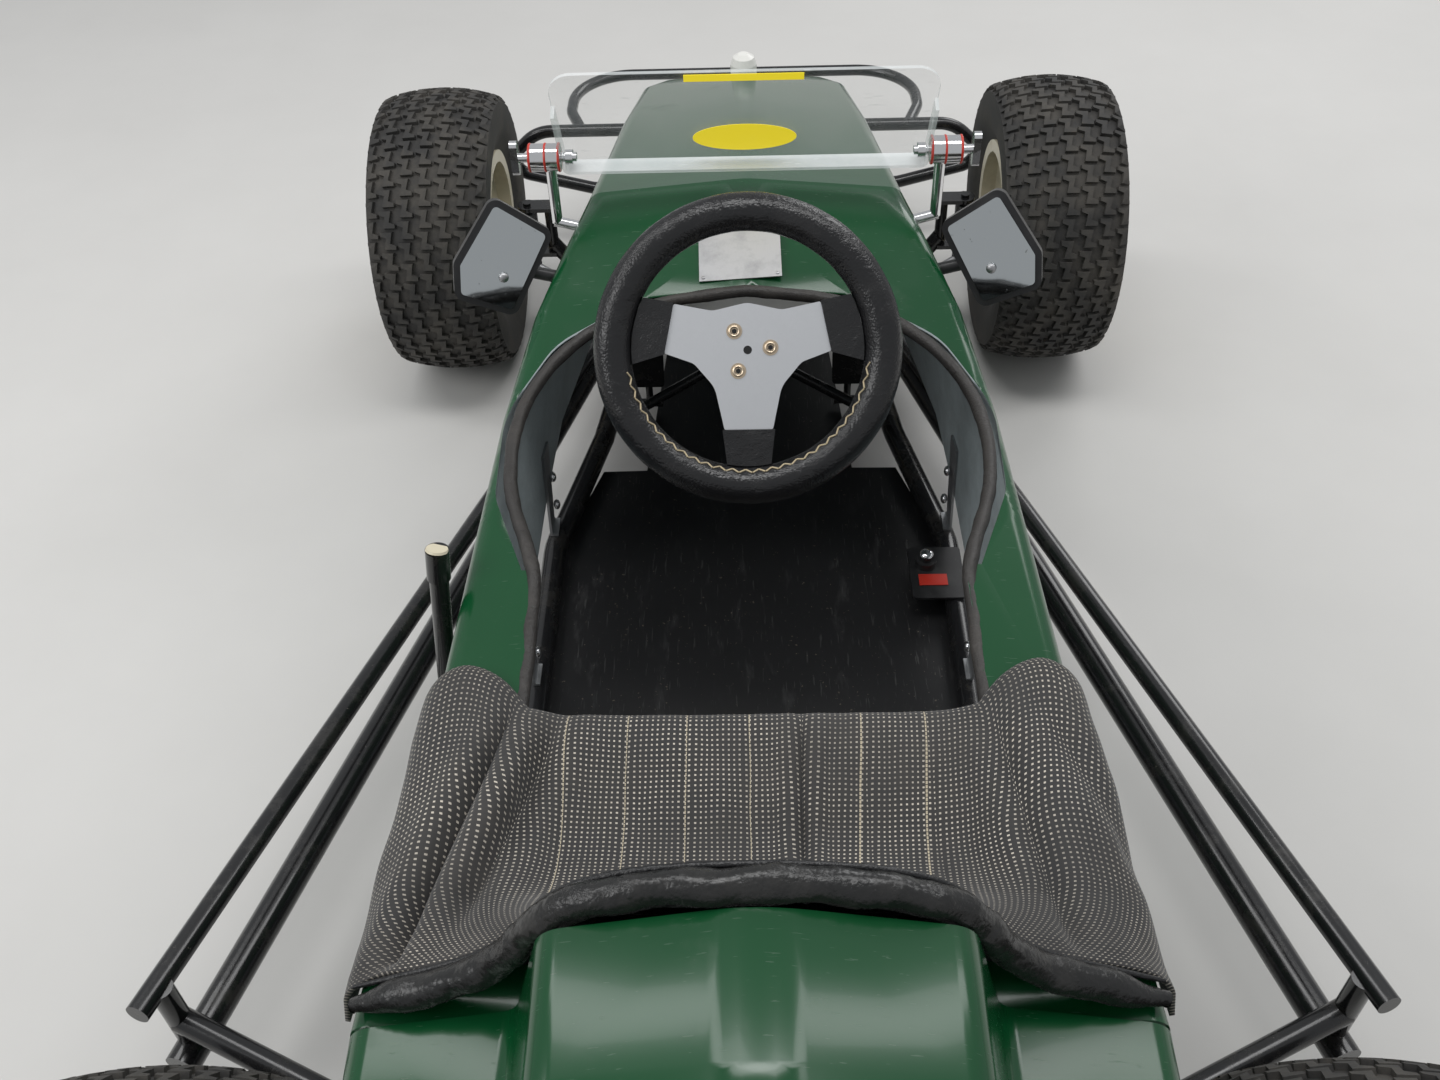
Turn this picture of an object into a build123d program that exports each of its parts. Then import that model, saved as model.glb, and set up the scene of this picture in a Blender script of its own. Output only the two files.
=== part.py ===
from build123d import *
import math
import os

# Child's petrol racing kart with single-seater bodywork.
# Millimetres. +Y is forward, +X the driver's right, +Z up, and the floor is z = 0.
# The origin is under the middle of the overall box. Pairs are modelled on the right
# and mirrored to the left.

# Overall layout
wheelbase = 1500.0
front_overhang = 460.0
rear_overhang = 280.0
front_track = 868.0
rear_track = 904.0
front_axle_y = (wheelbase + rear_overhang - front_overhang) / 2
rear_axle_y = front_axle_y - wheelbase

# Clearances: between fixed pieces, and on turning pins
gap = 0.3
run_gap = 0.1

# Tyres and rims
tyre_radius = 203.0
axle_z = tyre_radius
bead_radius = 101.6
flange_height = 13.0
rim_wall = 4.0
carcass = 9.0
front_tyre_width = 165.0
rear_tyre_width = 200.0
bead_inset = 13.5
shoulder_drop = 11.0
shoulder_inset = 8.5
flat_crown = 0.5
disc_thickness = 5.0
disc_offset = 18.0
hub_wall = 12.0
hub_length = 56.0
stub_radius = 8.5
rear_axle_radius = 15.0
sprocket_radius = 88.0
sprocket_x = -150.0
brake_radius = 82.0
brake_x = 160.0
sleeve_length = 28.0

# Chassis tubes
rail_radius = 14.0
rail_z = 95.0
rail_half = 245.0
rail_rear_y = rear_axle_y - 130.0
rail_bend_y = 100.0
rail_neck_half = 197.0
rail_neck_y = 306.0
rail_front_half = 165.0
rail_front_y = front_axle_y - 120.0
nose_rail_half = 146.0
cross_radius = 13.0
front_cross_y = front_axle_y - 112.0
front_cross_half = 222.0
pan_thickness = 3.0
hanger_thickness = 14.0
hanger_half = 34.0

# Bumpers and side bars
bumper_radius = 10.0
hoop_radius = 9.0
upright_radius = 8.0
bumper_y = front_axle_y + 264.0
lower_bumper_z = 112.0
upper_bumper_z = 217.0
bumper_straight_half = 250.0
bumper_tip_half = 402.0
bumper_tip_z = 153.0
upper_straight_half = 335.0
hoop_half = 283.0
hoop_root_half = 262.0
rear_bumper_half = 200.0
rear_bumper_z = 150.0
thin_bar_radius = 11.0
thick_bar_radius = 16.0
brace_radius = 12.0
side_bar_front_half = 204.0
side_bar_rear_half = 534.0
side_bar_rear_y = rear_axle_y + 268.0
side_bar_thin_z = 203.0
side_bar_thick_z = 100.0

# Steering
kingpin_half = 320.0
kingpin_radius = 6.0
knuckle_radius = 13.0
knuckle_height = 59.0
yoke_plate = 6.0
yoke_gap = 5.5
yoke_reach = 32.0
arm_reach = 68.0
arm_inset = 12.0
arm_thickness = 8.0
arm_drop = 8.0
rod_radius = 5.0
rod_pin_radius = 4.0
rod_eye_radius = 10.0
rod_eye_height = 9.0
loose_eye_radius = 10.0
wheel_centre_y = -31.0
wheel_centre_z = 498.0
column_fall = 37.3
column_radius = 9.5
drop_arm_at = 560.0
drop_arm_length = 41.0
drop_arm_plate = 8.0
eye_bias = 4.6
bush_at = 505.0
bush_length = 36.0
grip_ring_radius = 133.5
grip_radius = 19.0
spoke_plate = 4.0
cover_plate = 10.0

# Bodywork
skin = 5.0
nose_tip_y = front_axle_y + front_overhang - 42.0
scuttle_y = 263.0
body_rear_y = -678.0
skirt_z = 165.0
trim_width = 14.0
trim_proud = 4.0
trim_depth = 9.0
cover_gap = 2.5
tail_y = rear_axle_y - rear_overhang + 24.0
pinch_y = -250.0
opening_rear_y = body_rear_y + 40.0
flap_thickness = 6.0
roll_radius = 14.0

os.makedirs("parts", exist_ok=True)


def export_pair(right, name):
    """Writes a right-hand piece and its mirror image."""
    left = right.mirror(Plane.YZ)
    left.label = f"left_{name}"
    export_step(left, f"parts/left_{name}.step")
    right.label = f"right_{name}"
    export_step(right, f"parts/right_{name}.step")


def export_both(right, name):
    """Writes a right-hand piece and its mirror image as one node of separate solids."""
    with BuildPart() as both:
        add(right)
        mirror(about=Plane.YZ)
    both.part.label = name
    export_step(both.part, f"parts/{name}.step")


def tube(start, end, radius):
    """A straight round tube or rod between two points."""
    run = Vector(end) - Vector(start)
    with BuildPart() as straight:
        with BuildSketch(Plane(origin=start, z_dir=run)):
            Circle(radius)
        extrude(amount=run.length)
    return straight.part


def bent_tube(points, bends, radius):
    """A round tube along straight runs joined by bends."""
    with BuildPart() as bent:
        with BuildLine() as path:
            FilletPolyline(*points, radius=bends)
        with BuildSketch(Plane(origin=path.wire() @ 0, z_dir=path.wire() % 0)):
            Circle(radius)
        sweep(path=path.wire())
    return bent.part


def across(y, z=0.0, x=0.0):
    """Upright plane across the kart: local x is X and local y is Z."""
    return Plane(origin=(x, y, z), x_dir=(1, 0, 0), z_dir=(0, -1, 0))


def along(x):
    """Upright plane along the kart: local x is Y and local y is Z."""
    return Plane.YZ.offset(x)


def both_halves(points):
    """Joins a right-hand outline, listed from one end to the other, to its mirror image."""
    return points + [(-x, z) for x, z in reversed(points) if x > 0]


# Body sections, each as y, bottom half, bottom z, waist half, waist z,
# shoulder half, shoulder z, crown z
nose_sections = [
    (nose_tip_y, 90, 170, 94, 190, 84, 211, 218),
    (nose_tip_y - 36, 136, 152, 146, 190, 138, 240, 250),
    (nose_tip_y - 105, 160, 146, 168, 200, 164, 265, 279),
    (front_axle_y + 40, 186, 150, 192, 240, 172, 357, 372),
    (scuttle_y, 248, skirt_z, 225, 330, 176, 499, 515),
]
cockpit_sections = [
    (scuttle_y, 248, skirt_z, 225, 330, 176, 499, 515),
    (192, 251, skirt_z, 237, 330, 200, 480, 497),
    (111, 254, skirt_z, 249, 320, 230, 448, 473),
    (-31, 256, skirt_z, 262, 310, 252, 425, 441),
    (-191, 257, skirt_z, 268, 310, 261, 417, 430),
    (-400, 264, skirt_z, 281, 310, 270, 409, 424),
    (body_rear_y, 286, skirt_z, 306, 310, 291, 396, 424),
]
# Engine cover sections, each as y, bottom half, bottom z, waist half, waist z, shoulder half,
# shoulder z, hump foot half, foot z, hump half, hump z, crown z, corner radius
cover_sections = [
    (body_rear_y - cover_gap, 286, skirt_z, 306, 310, 291, 396, 168, 424, 140, 532, 562, 26),
    (rear_axle_y + 60, 285, skirt_z, 304, 310, 288, 396, 166, 422, 138, 536, 564, 26),
    (rear_axle_y - 120, 246, 172, 262, 300, 244, 378, 144, 400, 120, 494, 514, 22),
    (tail_y, 168, 196, 180, 278, 164, 330, 100, 344, 84, 396, 408, 12),
]


def moved(section, neighbour, shift):
    """A section carried along the body, on the line that it makes with its neighbour."""
    share = shift / (section[0] - neighbour[0])
    return tuple(a + share * (a - b) for a, b in zip(section, neighbour))


def lower_edge(bottom, bottom_z, waist, waist_z, inset, drop):
    """The bottom corner of a section, carried down its own slope by drop."""
    lean = (bottom - waist) / (waist_z - bottom_z)
    return (bottom - inset + lean * drop, bottom_z - drop)


def body_ring(section, inset, drop):
    """One body section, pulled in by inset, with its bottom lowered by drop."""
    y, bottom, bottom_z, waist, waist_z, shoulder, shoulder_z, crown_z = section
    side = [
        lower_edge(bottom, bottom_z, waist, waist_z, inset, drop),
        (waist - inset, waist_z),
        (shoulder - inset, shoulder_z - inset),
        (0, crown_z - inset),
    ]
    corner = max(20 - inset, 8)
    with BuildSketch(across(y)) as ring:
        with BuildLine():
            FilletPolyline(*both_halves(side), radius=[2, 14, corner, 150, corner, 14, 2], close=True)
        make_face()
    return ring.sketch.face()


def cover_ring(section, inset, drop):
    """One engine cover section, pulled in and lowered in the same way."""
    (y, bottom, bottom_z, waist, waist_z, shoulder, shoulder_z,
     foot, foot_z, hump, hump_z, crown_z, corner) = section
    side = [
        lower_edge(bottom, bottom_z, waist, waist_z, inset, drop),
        (waist - inset, waist_z),
        (shoulder - inset, shoulder_z - inset),
        (foot - inset, foot_z - inset),
        (hump - inset, hump_z - inset),
        (0, crown_z - inset),
    ]
    half_bends = [2, 14, corner, corner * 0.7, corner]
    with BuildSketch(across(y)) as ring:
        with BuildLine():
            FilletPolyline(*both_halves(side), radius=half_bends + [150] + half_bends[::-1], close=True)
        make_face()
    return ring.sketch.face()


def filled(ring_of, sections, inset, drop=0.0, front_shift=0.0, rear_shift=0.0):
    """A solid through the sections, pulled in by inset, with its ends moved."""
    front = moved(sections[0], sections[1], front_shift)
    rear = moved(sections[-1], sections[-2], rear_shift)
    rings = [ring_of(section, inset, drop) for section in (front, *sections[1:-1], rear)]
    with BuildPart() as through:
        loft(sections=rings, ruled=True)
    return through.part


def body_solid(inset, drop=0.0, front_shift=0.0, rear_shift=0.0):
    """The nose and the cockpit sides as one solid, pulled in by inset."""
    with BuildPart() as whole:
        add(filled(body_ring, nose_sections, inset, drop, front_shift, 0.0))
        add(filled(body_ring, cockpit_sections, inset, drop, 0.0, rear_shift))
    return whole.part


# Cockpit opening seen from above: right half from the front, with its corner radii
opening_half = [(112, 99), (192, 48), (236, -40), (232, -150), (195, pinch_y), (199, opening_rear_y)]
opening_bends = [24, 60, 70, 60, 30, 6]
below_opening_z = 300.0
above_body_z = 700.0


def opening(grow):
    """The cockpit opening as a level face, grown outwards."""
    with BuildSketch() as hole:
        with BuildLine():
            FilletPolyline(
                *opening_half,
                *[(-x, y) for x, y in reversed(opening_half)],
                radius=opening_bends + opening_bends[::-1],
                close=True,
            )
        make_face()
        if grow:
            offset(amount=grow, kind=Kind.ARC)
    return hole.sketch


def ahead_of(y):
    """A level face that covers everything in front of y."""
    with BuildSketch() as area:
        with Locations((0, y + 500)):
            Rectangle(1000, 1000)
    return area.sketch


# Body shell: nose and cockpit sides in one moulding, open underneath and behind
arm_slot_front = front_axle_y + 100.0
arm_slot_rear = front_axle_y - 175.0
arm_slot_top = axle_z + 40.0
arm_slot_bottom = skirt_z - 60.0
tube_slot_radius = bumper_radius + 3.0
inside = 40.0
with BuildPart() as body_shell:
    add(body_solid(0.0))
    add(body_solid(skin, inside, -skin, -inside), mode=Mode.SUBTRACT)
    with BuildSketch(Plane.XY.offset(below_opening_z)):
        add(opening(trim_width + gap))
        add(ahead_of(pinch_y), mode=Mode.INTERSECT)
        add(opening(0.0))
    extrude(amount=above_body_z, mode=Mode.SUBTRACT)
    with BuildSketch(along(-rail_half - inside)):
        with Locations(((arm_slot_front + arm_slot_rear) / 2, (arm_slot_top + arm_slot_bottom) / 2)):
            RectangleRounded(arm_slot_front - arm_slot_rear, arm_slot_top - arm_slot_bottom, 30)
        with Locations((bumper_y, upper_bumper_z)):
            Circle(tube_slot_radius)
    extrude(amount=2 * (rail_half + inside), mode=Mode.SUBTRACT)
body_shell.part.label = "body_shell"
export_step(body_shell.part, "parts/body_shell.step")

# Padded trim along the edge of the opening, in front of the pinch
with BuildPart() as cockpit_trim:
    add(body_solid(-trim_proud))
    add(body_solid(trim_depth, inside, -inside, -inside), mode=Mode.SUBTRACT)
    with BuildSketch(Plane.XY.offset(below_opening_z)):
        add(opening(trim_width))
        add(opening(0.0), mode=Mode.SUBTRACT)
        add(ahead_of(pinch_y + gap), mode=Mode.INTERSECT)
    extrude(amount=above_body_z, mode=Mode.INTERSECT)
cockpit_trim.part.label = "cockpit_trim"
export_step(cockpit_trim.part, "parts/cockpit_trim.step")

# What stands on the body is cut to this, so that it sits a hair off the moulding
body_seat = body_solid(-gap, rear_shift=-inside)

# Engine cover behind the seat, open in front and underneath, with slots for the axle
axle_slot_half = 45.0
axle_slot_top = axle_z + 45.0
cover_reach = 340.0
with BuildPart() as engine_cover:
    add(filled(cover_ring, cover_sections, 0.0))
    add(filled(cover_ring, cover_sections, skin, inside, inside, skin), mode=Mode.SUBTRACT)
    with BuildSketch(along(-cover_reach)):
        with Locations((rear_axle_y, (axle_slot_top + arm_slot_bottom) / 2)):
            RectangleRounded(2 * axle_slot_half, axle_slot_top - arm_slot_bottom, 30)
    extrude(amount=2 * cover_reach, mode=Mode.SUBTRACT)
engine_cover.part.label = "engine_cover"
export_step(engine_cover.part, "parts/engine_cover.step")


# Tyres and rims
def tyre(centre_x, axle_y, width):
    """A hollow tyre about its axle."""
    heel = width / 2 - bead_inset
    shoulder = width / 2 - shoulder_inset
    bead = bead_radius + gap
    bead_top = bead + flange_height
    bulge_radius = (bead + tyre_radius) / 2 + 3
    shoulder_radius = tyre_radius - shoulder_drop

    outer_side = [
        (heel - carcass - 3, bead),
        (heel, bead),
        (heel, bead_top),
        (width / 2, bulge_radius),
        (shoulder, shoulder_radius),
        (shoulder * flat_crown, tyre_radius),
    ]
    lining = [(heel - carcass, bead_top), (shoulder - carcass, shoulder_radius - carcass)]
    with BuildPart() as ring:
        with BuildSketch(across(axle_y, axle_z, centre_x)):
            with BuildLine():
                Polyline(
                    *outer_side,
                    *[(-x, r) for x, r in reversed(outer_side)],
                    *[(-x, r) for x, r in lining],
                    *reversed(lining),
                    close=True,
                )
            make_face()
        revolve(axis=Axis((0, axle_y, axle_z), (1, 0, 0)))
    return ring.part


def rim(centre_x, axle_y, width, bore_radius):
    """A pressed rim with its disc towards the outside and a hub tube about its axle."""
    flange_x = width / 2 - bead_inset + gap
    flange_tip = bead_radius + flange_height
    well = bead_radius - 12
    hub_outer = bore_radius + hub_wall
    outer_side = [
        (flange_x + rim_wall, flange_tip),
        (flange_x, flange_tip),
        (flange_x, bead_radius),
        (flange_x - 18, bead_radius),
        (flange_x - 26, well),
    ]
    inner_side = [
        (flange_x - 24, well - rim_wall),
        (flange_x - 16, bead_radius - rim_wall),
        (flange_x + rim_wall, bead_radius - rim_wall),
    ]
    disc_inner_x = disc_offset - disc_thickness / 2
    disc_outer_x = disc_offset + disc_thickness / 2
    disc_and_hub = [
        (disc_inner_x, well - rim_wall),
        (disc_inner_x, hub_outer),
        (-hub_length / 2, hub_outer),
        (-hub_length / 2, bore_radius),
        (hub_length / 2, bore_radius),
        (hub_length / 2, hub_outer),
        (disc_outer_x, hub_outer),
        (disc_outer_x, well - rim_wall),
    ]
    with BuildPart() as wheel:
        with BuildSketch(across(axle_y, axle_z, centre_x)):
            with BuildLine():
                Polyline(
                    *outer_side,
                    *[(-x, r) for x, r in reversed(outer_side)],
                    *[(-x, r) for x, r in reversed(inner_side)],
                    *disc_and_hub,
                    *inner_side,
                    close=True,
                )
            make_face()
        revolve(axis=Axis((0, axle_y, axle_z), (1, 0, 0)))
    return wheel.part


front_x = front_track / 2
rear_x = rear_track / 2
stub_bore = stub_radius + run_gap
axle_bore = rear_axle_radius + gap
export_pair(tyre(front_x, front_axle_y, front_tyre_width), "front_tyre")
export_pair(rim(front_x, front_axle_y, front_tyre_width, stub_bore), "front_rim")
export_pair(tyre(rear_x, rear_axle_y, rear_tyre_width), "rear_tyre")
export_pair(rim(rear_x, rear_axle_y, rear_tyre_width, axle_bore), "rear_rim")


# Live rear axle with its sprocket and brake disc
def axle_disc(x, radius, thickness):
    """A disc with a hub sleeve on the rear axle."""
    with BuildPart() as disc:
        for length, rim_radius in ((thickness, radius), (sleeve_length, axle_bore + hub_wall)):
            with BuildSketch(Plane(origin=(x - length / 2, rear_axle_y, axle_z), z_dir=(1, 0, 0))):
                Circle(rim_radius)
                Circle(axle_bore, mode=Mode.SUBTRACT)
            extrude(amount=length)
    return disc.part


axle_half = rear_x + hub_length / 2
with BuildPart() as rear_axle:
    add(tube((-axle_half, rear_axle_y, axle_z), (axle_half, rear_axle_y, axle_z), rear_axle_radius))
rear_axle.part.label = "rear_axle"
export_step(rear_axle.part, "parts/rear_axle.step")

with BuildPart() as axle_sprocket:
    add(axle_disc(sprocket_x, sprocket_radius, 5.0))
axle_sprocket.part.label = "axle_sprocket"
export_step(axle_sprocket.part, "parts/axle_sprocket.step")

with BuildPart() as brake_disc:
    add(axle_disc(brake_x, brake_radius, 6.0))
brake_disc.part.label = "brake_disc"
export_step(brake_disc.part, "parts/brake_disc.step")


# Chassis: two long rails, cross tubes, axle hangers and the engine plate, welded together
def on_nose_rail(y):
    """Centre of the right rail where it runs forward into the nose."""
    share = (y - rail_front_y) / (bumper_y - rail_front_y)
    x = rail_front_half + share * (nose_rail_half - rail_front_half)
    return Vector(x, y, rail_z + share * (lower_bumper_z - rail_z))


def on_side_rail(y):
    """Centre of the right rail between its two bends."""
    share = (y - rail_neck_y) / (rail_front_y - rail_neck_y)
    return Vector(rail_neck_half + share * (rail_front_half - rail_neck_half), y, rail_z)


rail_top = rail_z + rail_radius
rail_rise = (lower_bumper_z - rail_z) / (bumper_y - rail_front_y)
rail_tip_y = bumper_y - bumper_radius - gap - rail_radius * rail_rise
rail_points = [
    (rail_half, rail_rear_y, rail_z),
    (rail_half, rail_bend_y, rail_z),
    (rail_neck_half, rail_neck_y, rail_z),
    (rail_front_half, rail_front_y, rail_z),
    on_nose_rail(rail_tip_y),
]
engine_front_y = -600.0
engine_rear_y = -760.0
engine_plate_z = rail_z + cross_radius - 1.0
engine_plate_top = engine_plate_z + 6.0
engine_plate_half = 100.0
seat_cross_y = -430.0
cross_ys = [rail_rear_y, engine_rear_y + 20, engine_front_y - 20, seat_cross_y]
hanger_top = axle_z + hanger_half
with BuildPart() as chassis_frame:
    rail = bent_tube(rail_points, [120, 120, 120], rail_radius)
    add(rail)
    add(rail.mirror(Plane.YZ))
    for cross_y in cross_ys:
        add(tube((-rail_half, cross_y, rail_z), (rail_half, cross_y, rail_z), cross_radius))
    front_cross_end = Vector(front_cross_half, front_cross_y, rail_z)
    add(tube((-front_cross_half, front_cross_y, rail_z), front_cross_end, thin_bar_radius))
    with BuildSketch(Plane.XY.offset(engine_plate_z)):
        with Locations((0, (engine_front_y + engine_rear_y) / 2)):
            Rectangle(2 * engine_plate_half, engine_front_y - engine_rear_y)
    extrude(amount=engine_plate_top - engine_plate_z)
    for side in (-1, 1):
        with BuildSketch(along(side * rail_half - hanger_thickness / 2)):
            with Locations((rear_axle_y, (rail_z + hanger_top) / 2)):
                Rectangle(2 * hanger_half, hanger_top - rail_z)
            with Locations((rear_axle_y, axle_z)):
                Circle(rear_axle_radius + run_gap, mode=Mode.SUBTRACT)
        extrude(amount=hanger_thickness)
chassis_frame.part.label = "chassis_frame"
export_step(chassis_frame.part, "parts/chassis_frame.step")

# Floor pan under the rails, narrowing to the toes
pan_top = rail_z - rail_radius - gap
pan_half = [(rail_half, engine_front_y - 20), (rail_half, rail_bend_y), (195, 255), (137, 256), (115, 562)]
with BuildPart() as floor_pan:
    with BuildSketch(Plane.XY.offset(pan_top - pan_thickness)):
        with BuildLine():
            Polyline(*pan_half, *[(-x, y) for x, y in reversed(pan_half)], close=True)
        make_face()
    extrude(amount=pan_thickness)
floor_pan.part.label = "floor_pan"
export_step(floor_pan.part, "parts/floor_pan.step")

# Front bumper: an upright loop across the nose and a level hoop in front of it
hoop_front_y = front_axle_y + front_overhang - hoop_radius
loop_points = [
    (0, bumper_y, lower_bumper_z),
    (bumper_straight_half, bumper_y, lower_bumper_z),
    (bumper_tip_half, bumper_y, bumper_tip_z),
    (upper_straight_half, bumper_y, upper_bumper_z),
    (0, bumper_y, upper_bumper_z),
]
hoop_points = [
    (0, hoop_front_y, upper_bumper_z),
    (hoop_half, hoop_front_y, upper_bumper_z),
    (hoop_half, bumper_y + 61, upper_bumper_z),
    (hoop_root_half, bumper_y, upper_bumper_z),
]
with BuildPart() as front_bumper:
    add(bent_tube(loop_points, [60, 28, 60], bumper_radius))
    add(bent_tube(hoop_points, [95, 60], hoop_radius))
    upright_foot = Vector(nose_rail_half, bumper_y, lower_bumper_z)
    add(tube(upright_foot, (nose_rail_half, bumper_y, upper_bumper_z), upright_radius))
    mirror(about=Plane.YZ)
front_bumper.part.label = "front_bumper"
export_step(front_bumper.part, "parts/front_bumper.step")

# Rear bumper: a hoop from the last cross tube
rear_bumper_root_y = rail_rear_y - cross_radius - gap
hoop_rear_y = rear_axle_y - rear_overhang + bumper_radius
rear_half_points = [
    (rear_bumper_half, rear_bumper_root_y, rail_z),
    (rear_bumper_half, rear_bumper_root_y - 32, rail_z),
    (rear_bumper_half, hoop_rear_y, rear_bumper_z),
]
with BuildPart() as rear_bumper:
    left_points = [(-x, y, z) for x, y, z in reversed(rear_half_points)]
    add(bent_tube(rear_half_points + left_points, [30, 45, 45, 30], bumper_radius))
rear_bumper.part.label = "rear_bumper"
export_step(rear_bumper.part, "parts/rear_bumper.step")

# Side bars: a thick and a thin tube from the front cross tube to a stub beside the rear tyre
bar_lean = Vector(side_bar_rear_half - side_bar_front_half, side_bar_rear_y - front_cross_y, 0).normalized()
bar_front_y = front_cross_y - thin_bar_radius - gap - thick_bar_radius * bar_lean.X
stub_y = side_bar_rear_y + 25
stub_x = side_bar_rear_half - 9
brace_z = 145.0
with BuildPart() as side_bars:
    thick_front = Vector(side_bar_front_half, bar_front_y, rail_z)
    thin_front = Vector(side_bar_front_half + 4, bar_front_y, rail_z + 12)
    add(tube(thick_front, (side_bar_rear_half - 4, side_bar_rear_y, side_bar_thick_z), thick_bar_radius))
    add(tube(thin_front, (side_bar_rear_half + 4, side_bar_rear_y, side_bar_thin_z), thin_bar_radius))
    add(tube((stub_x, stub_y, side_bar_thick_z), (stub_x, stub_y, side_bar_thin_z), thin_bar_radius))
    brace_root = Vector(rail_half + rail_radius + gap + 5.5, stub_y - 110, rail_z + 3)
    add(tube(brace_root, (stub_x, stub_y, brace_z), brace_radius))
export_pair(side_bars.part, "side_bars")

# Front arms: from the rail out and up to a yoke that holds the kingpin
yoke_top = axle_z + knuckle_height / 2 + yoke_gap + yoke_plate
yoke_bottom = axle_z - knuckle_height / 2 - yoke_gap - yoke_plate
yoke_back = kingpin_half - yoke_reach
arm_rail = on_nose_rail(front_axle_y)
arm_points = [
    (arm_rail.X + rail_radius + 3 * gap, front_axle_y, arm_rail.Z),
    (yoke_back - 55, front_axle_y, arm_rail.Z),
    (yoke_back, front_axle_y, axle_z - 25),
]
with BuildPart() as front_arms:
    add(bent_tube(arm_points, [40], thin_bar_radius))
    add(tube((yoke_back, front_axle_y, yoke_bottom), (yoke_back, front_axle_y, yoke_top), 8))
    for plate_z in (yoke_bottom, yoke_top - yoke_plate):
        with BuildSketch(Plane.XY.offset(plate_z)):
            with Locations((kingpin_half, front_axle_y)):
                Circle(knuckle_radius + 1)
            with Locations(((yoke_back + kingpin_half) / 2, front_axle_y)):
                Rectangle(yoke_reach + 8, 2 * knuckle_radius)
        extrude(amount=yoke_plate)
    kingpin_foot = Vector(kingpin_half, front_axle_y, yoke_bottom - 4)
    add(tube(kingpin_foot, (kingpin_half, front_axle_y, yoke_top + 4), kingpin_radius))
export_pair(front_arms.part, "front_arms")

# Knuckles: kingpin boss, stub axle and steering arm with the pin for the tie rod
arm_z = axle_z - arm_drop - arm_thickness / 2
rod_pin_x = kingpin_half - arm_inset
rod_pin_y = front_axle_y - arm_reach
hub_inner_x = front_x - hub_length / 2
hub_outer_x = front_x + hub_length / 2
eye_z = arm_z - gap - rod_eye_height / 2
with BuildPart() as knuckle:
    with BuildSketch(Plane.XY.offset(axle_z - knuckle_height / 2)):
        with Locations((kingpin_half, front_axle_y)):
            Circle(knuckle_radius)
    extrude(amount=knuckle_height)
    for start_x, end_x, radius in (
        (kingpin_half, hub_outer_x + 14, stub_radius),
        (kingpin_half, hub_inner_x - gap, 12),
        (hub_outer_x + gap, hub_outer_x + 12, 14),
    ):
        add(tube((start_x, front_axle_y, axle_z), (end_x, front_axle_y, axle_z), radius))
    with BuildSketch(Plane.XY.offset(arm_z)):
        with BuildLine():
            Polyline(
                (kingpin_half - 10, front_axle_y),
                (rod_pin_x - 8, rod_pin_y),
                (rod_pin_x + 8, rod_pin_y),
                (kingpin_half + 10, front_axle_y),
                close=True,
            )
        make_face()
        with Locations((rod_pin_x, rod_pin_y)):
            Circle(rod_eye_radius)
    extrude(amount=arm_thickness)
    rod_pin_foot = Vector(rod_pin_x, rod_pin_y, arm_z - rod_eye_height - 5)
    add(tube(rod_pin_foot, (rod_pin_x, rod_pin_y, arm_z + arm_thickness), rod_pin_radius))
    with BuildSketch(Plane.XY.offset(axle_z - knuckle_height)):
        with Locations((kingpin_half, front_axle_y)):
            Circle(kingpin_radius + run_gap)
    extrude(amount=2 * knuckle_height, mode=Mode.SUBTRACT)
export_pair(knuckle.part, "knuckle")

# Steering column, from the wheel's plate down to the arm that moves the tie rods
fall = math.radians(column_fall)
column_down = Vector(0, math.cos(fall), -math.sin(fall))
column_up = Vector(0, math.sin(fall), math.cos(fall))
wheel_centre = Vector(0, wheel_centre_y, wheel_centre_z)


def on_column(distance, above=0.0, beside=0.0):
    """A point measured along the column from the wheel's centre."""
    return wheel_centre + column_down * distance + column_up * above + Vector(beside, 0, 0)


def across_column(distance):
    """Plane across the column that faces the driver: local x is X and local y is up."""
    return Plane(origin=on_column(distance), x_dir=(1, 0, 0), z_dir=column_down * -1)


plate_back = spoke_plate / 2
drop_arm_end = drop_arm_at + drop_arm_plate / 2
# Tie rod eyes on the drop arm's pin, each as side, name and distance past the arm
rod_eyes = [(-1, "left", 44.0), (1, "right", 20.0)]
pin_reach = rod_eyes[0][2] + rod_eye_height
with BuildPart() as steering_column:
    add(tube(on_column(plate_back), on_column(drop_arm_end), column_radius))
    add(tube(on_column(plate_back), on_column(plate_back + 6), 24))
    with BuildSketch(across_column(drop_arm_end)):
        with BuildLine():
            Polyline((-14, 6), (14, 6), (8, -drop_arm_length), (-8, -drop_arm_length), close=True)
        make_face()
        with Locations((0, -drop_arm_length)):
            Circle(9)
    extrude(amount=drop_arm_plate)
    pin_root = on_column(drop_arm_at, -drop_arm_length)
    add(tube(pin_root, on_column(drop_arm_at + pin_reach, -drop_arm_length), rod_pin_radius))
steering_column.part.label = "steering_column"
export_step(steering_column.part, "parts/steering_column.step")

# Steering wheel: leather grip, three-spoke plate and the covers over the spoke ends
with BuildPart() as steering_rim:
    with BuildSketch(Plane(origin=on_column(0), x_dir=(1, 0, 0), z_dir=column_up)):
        with Locations((grip_ring_radius, 0)):
            Circle(grip_radius)
    revolve(axis=Axis(on_column(0), column_down))
steering_rim.part.label = "steering_rim"
export_step(steering_rim.part, "parts/steering_rim.step")

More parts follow.
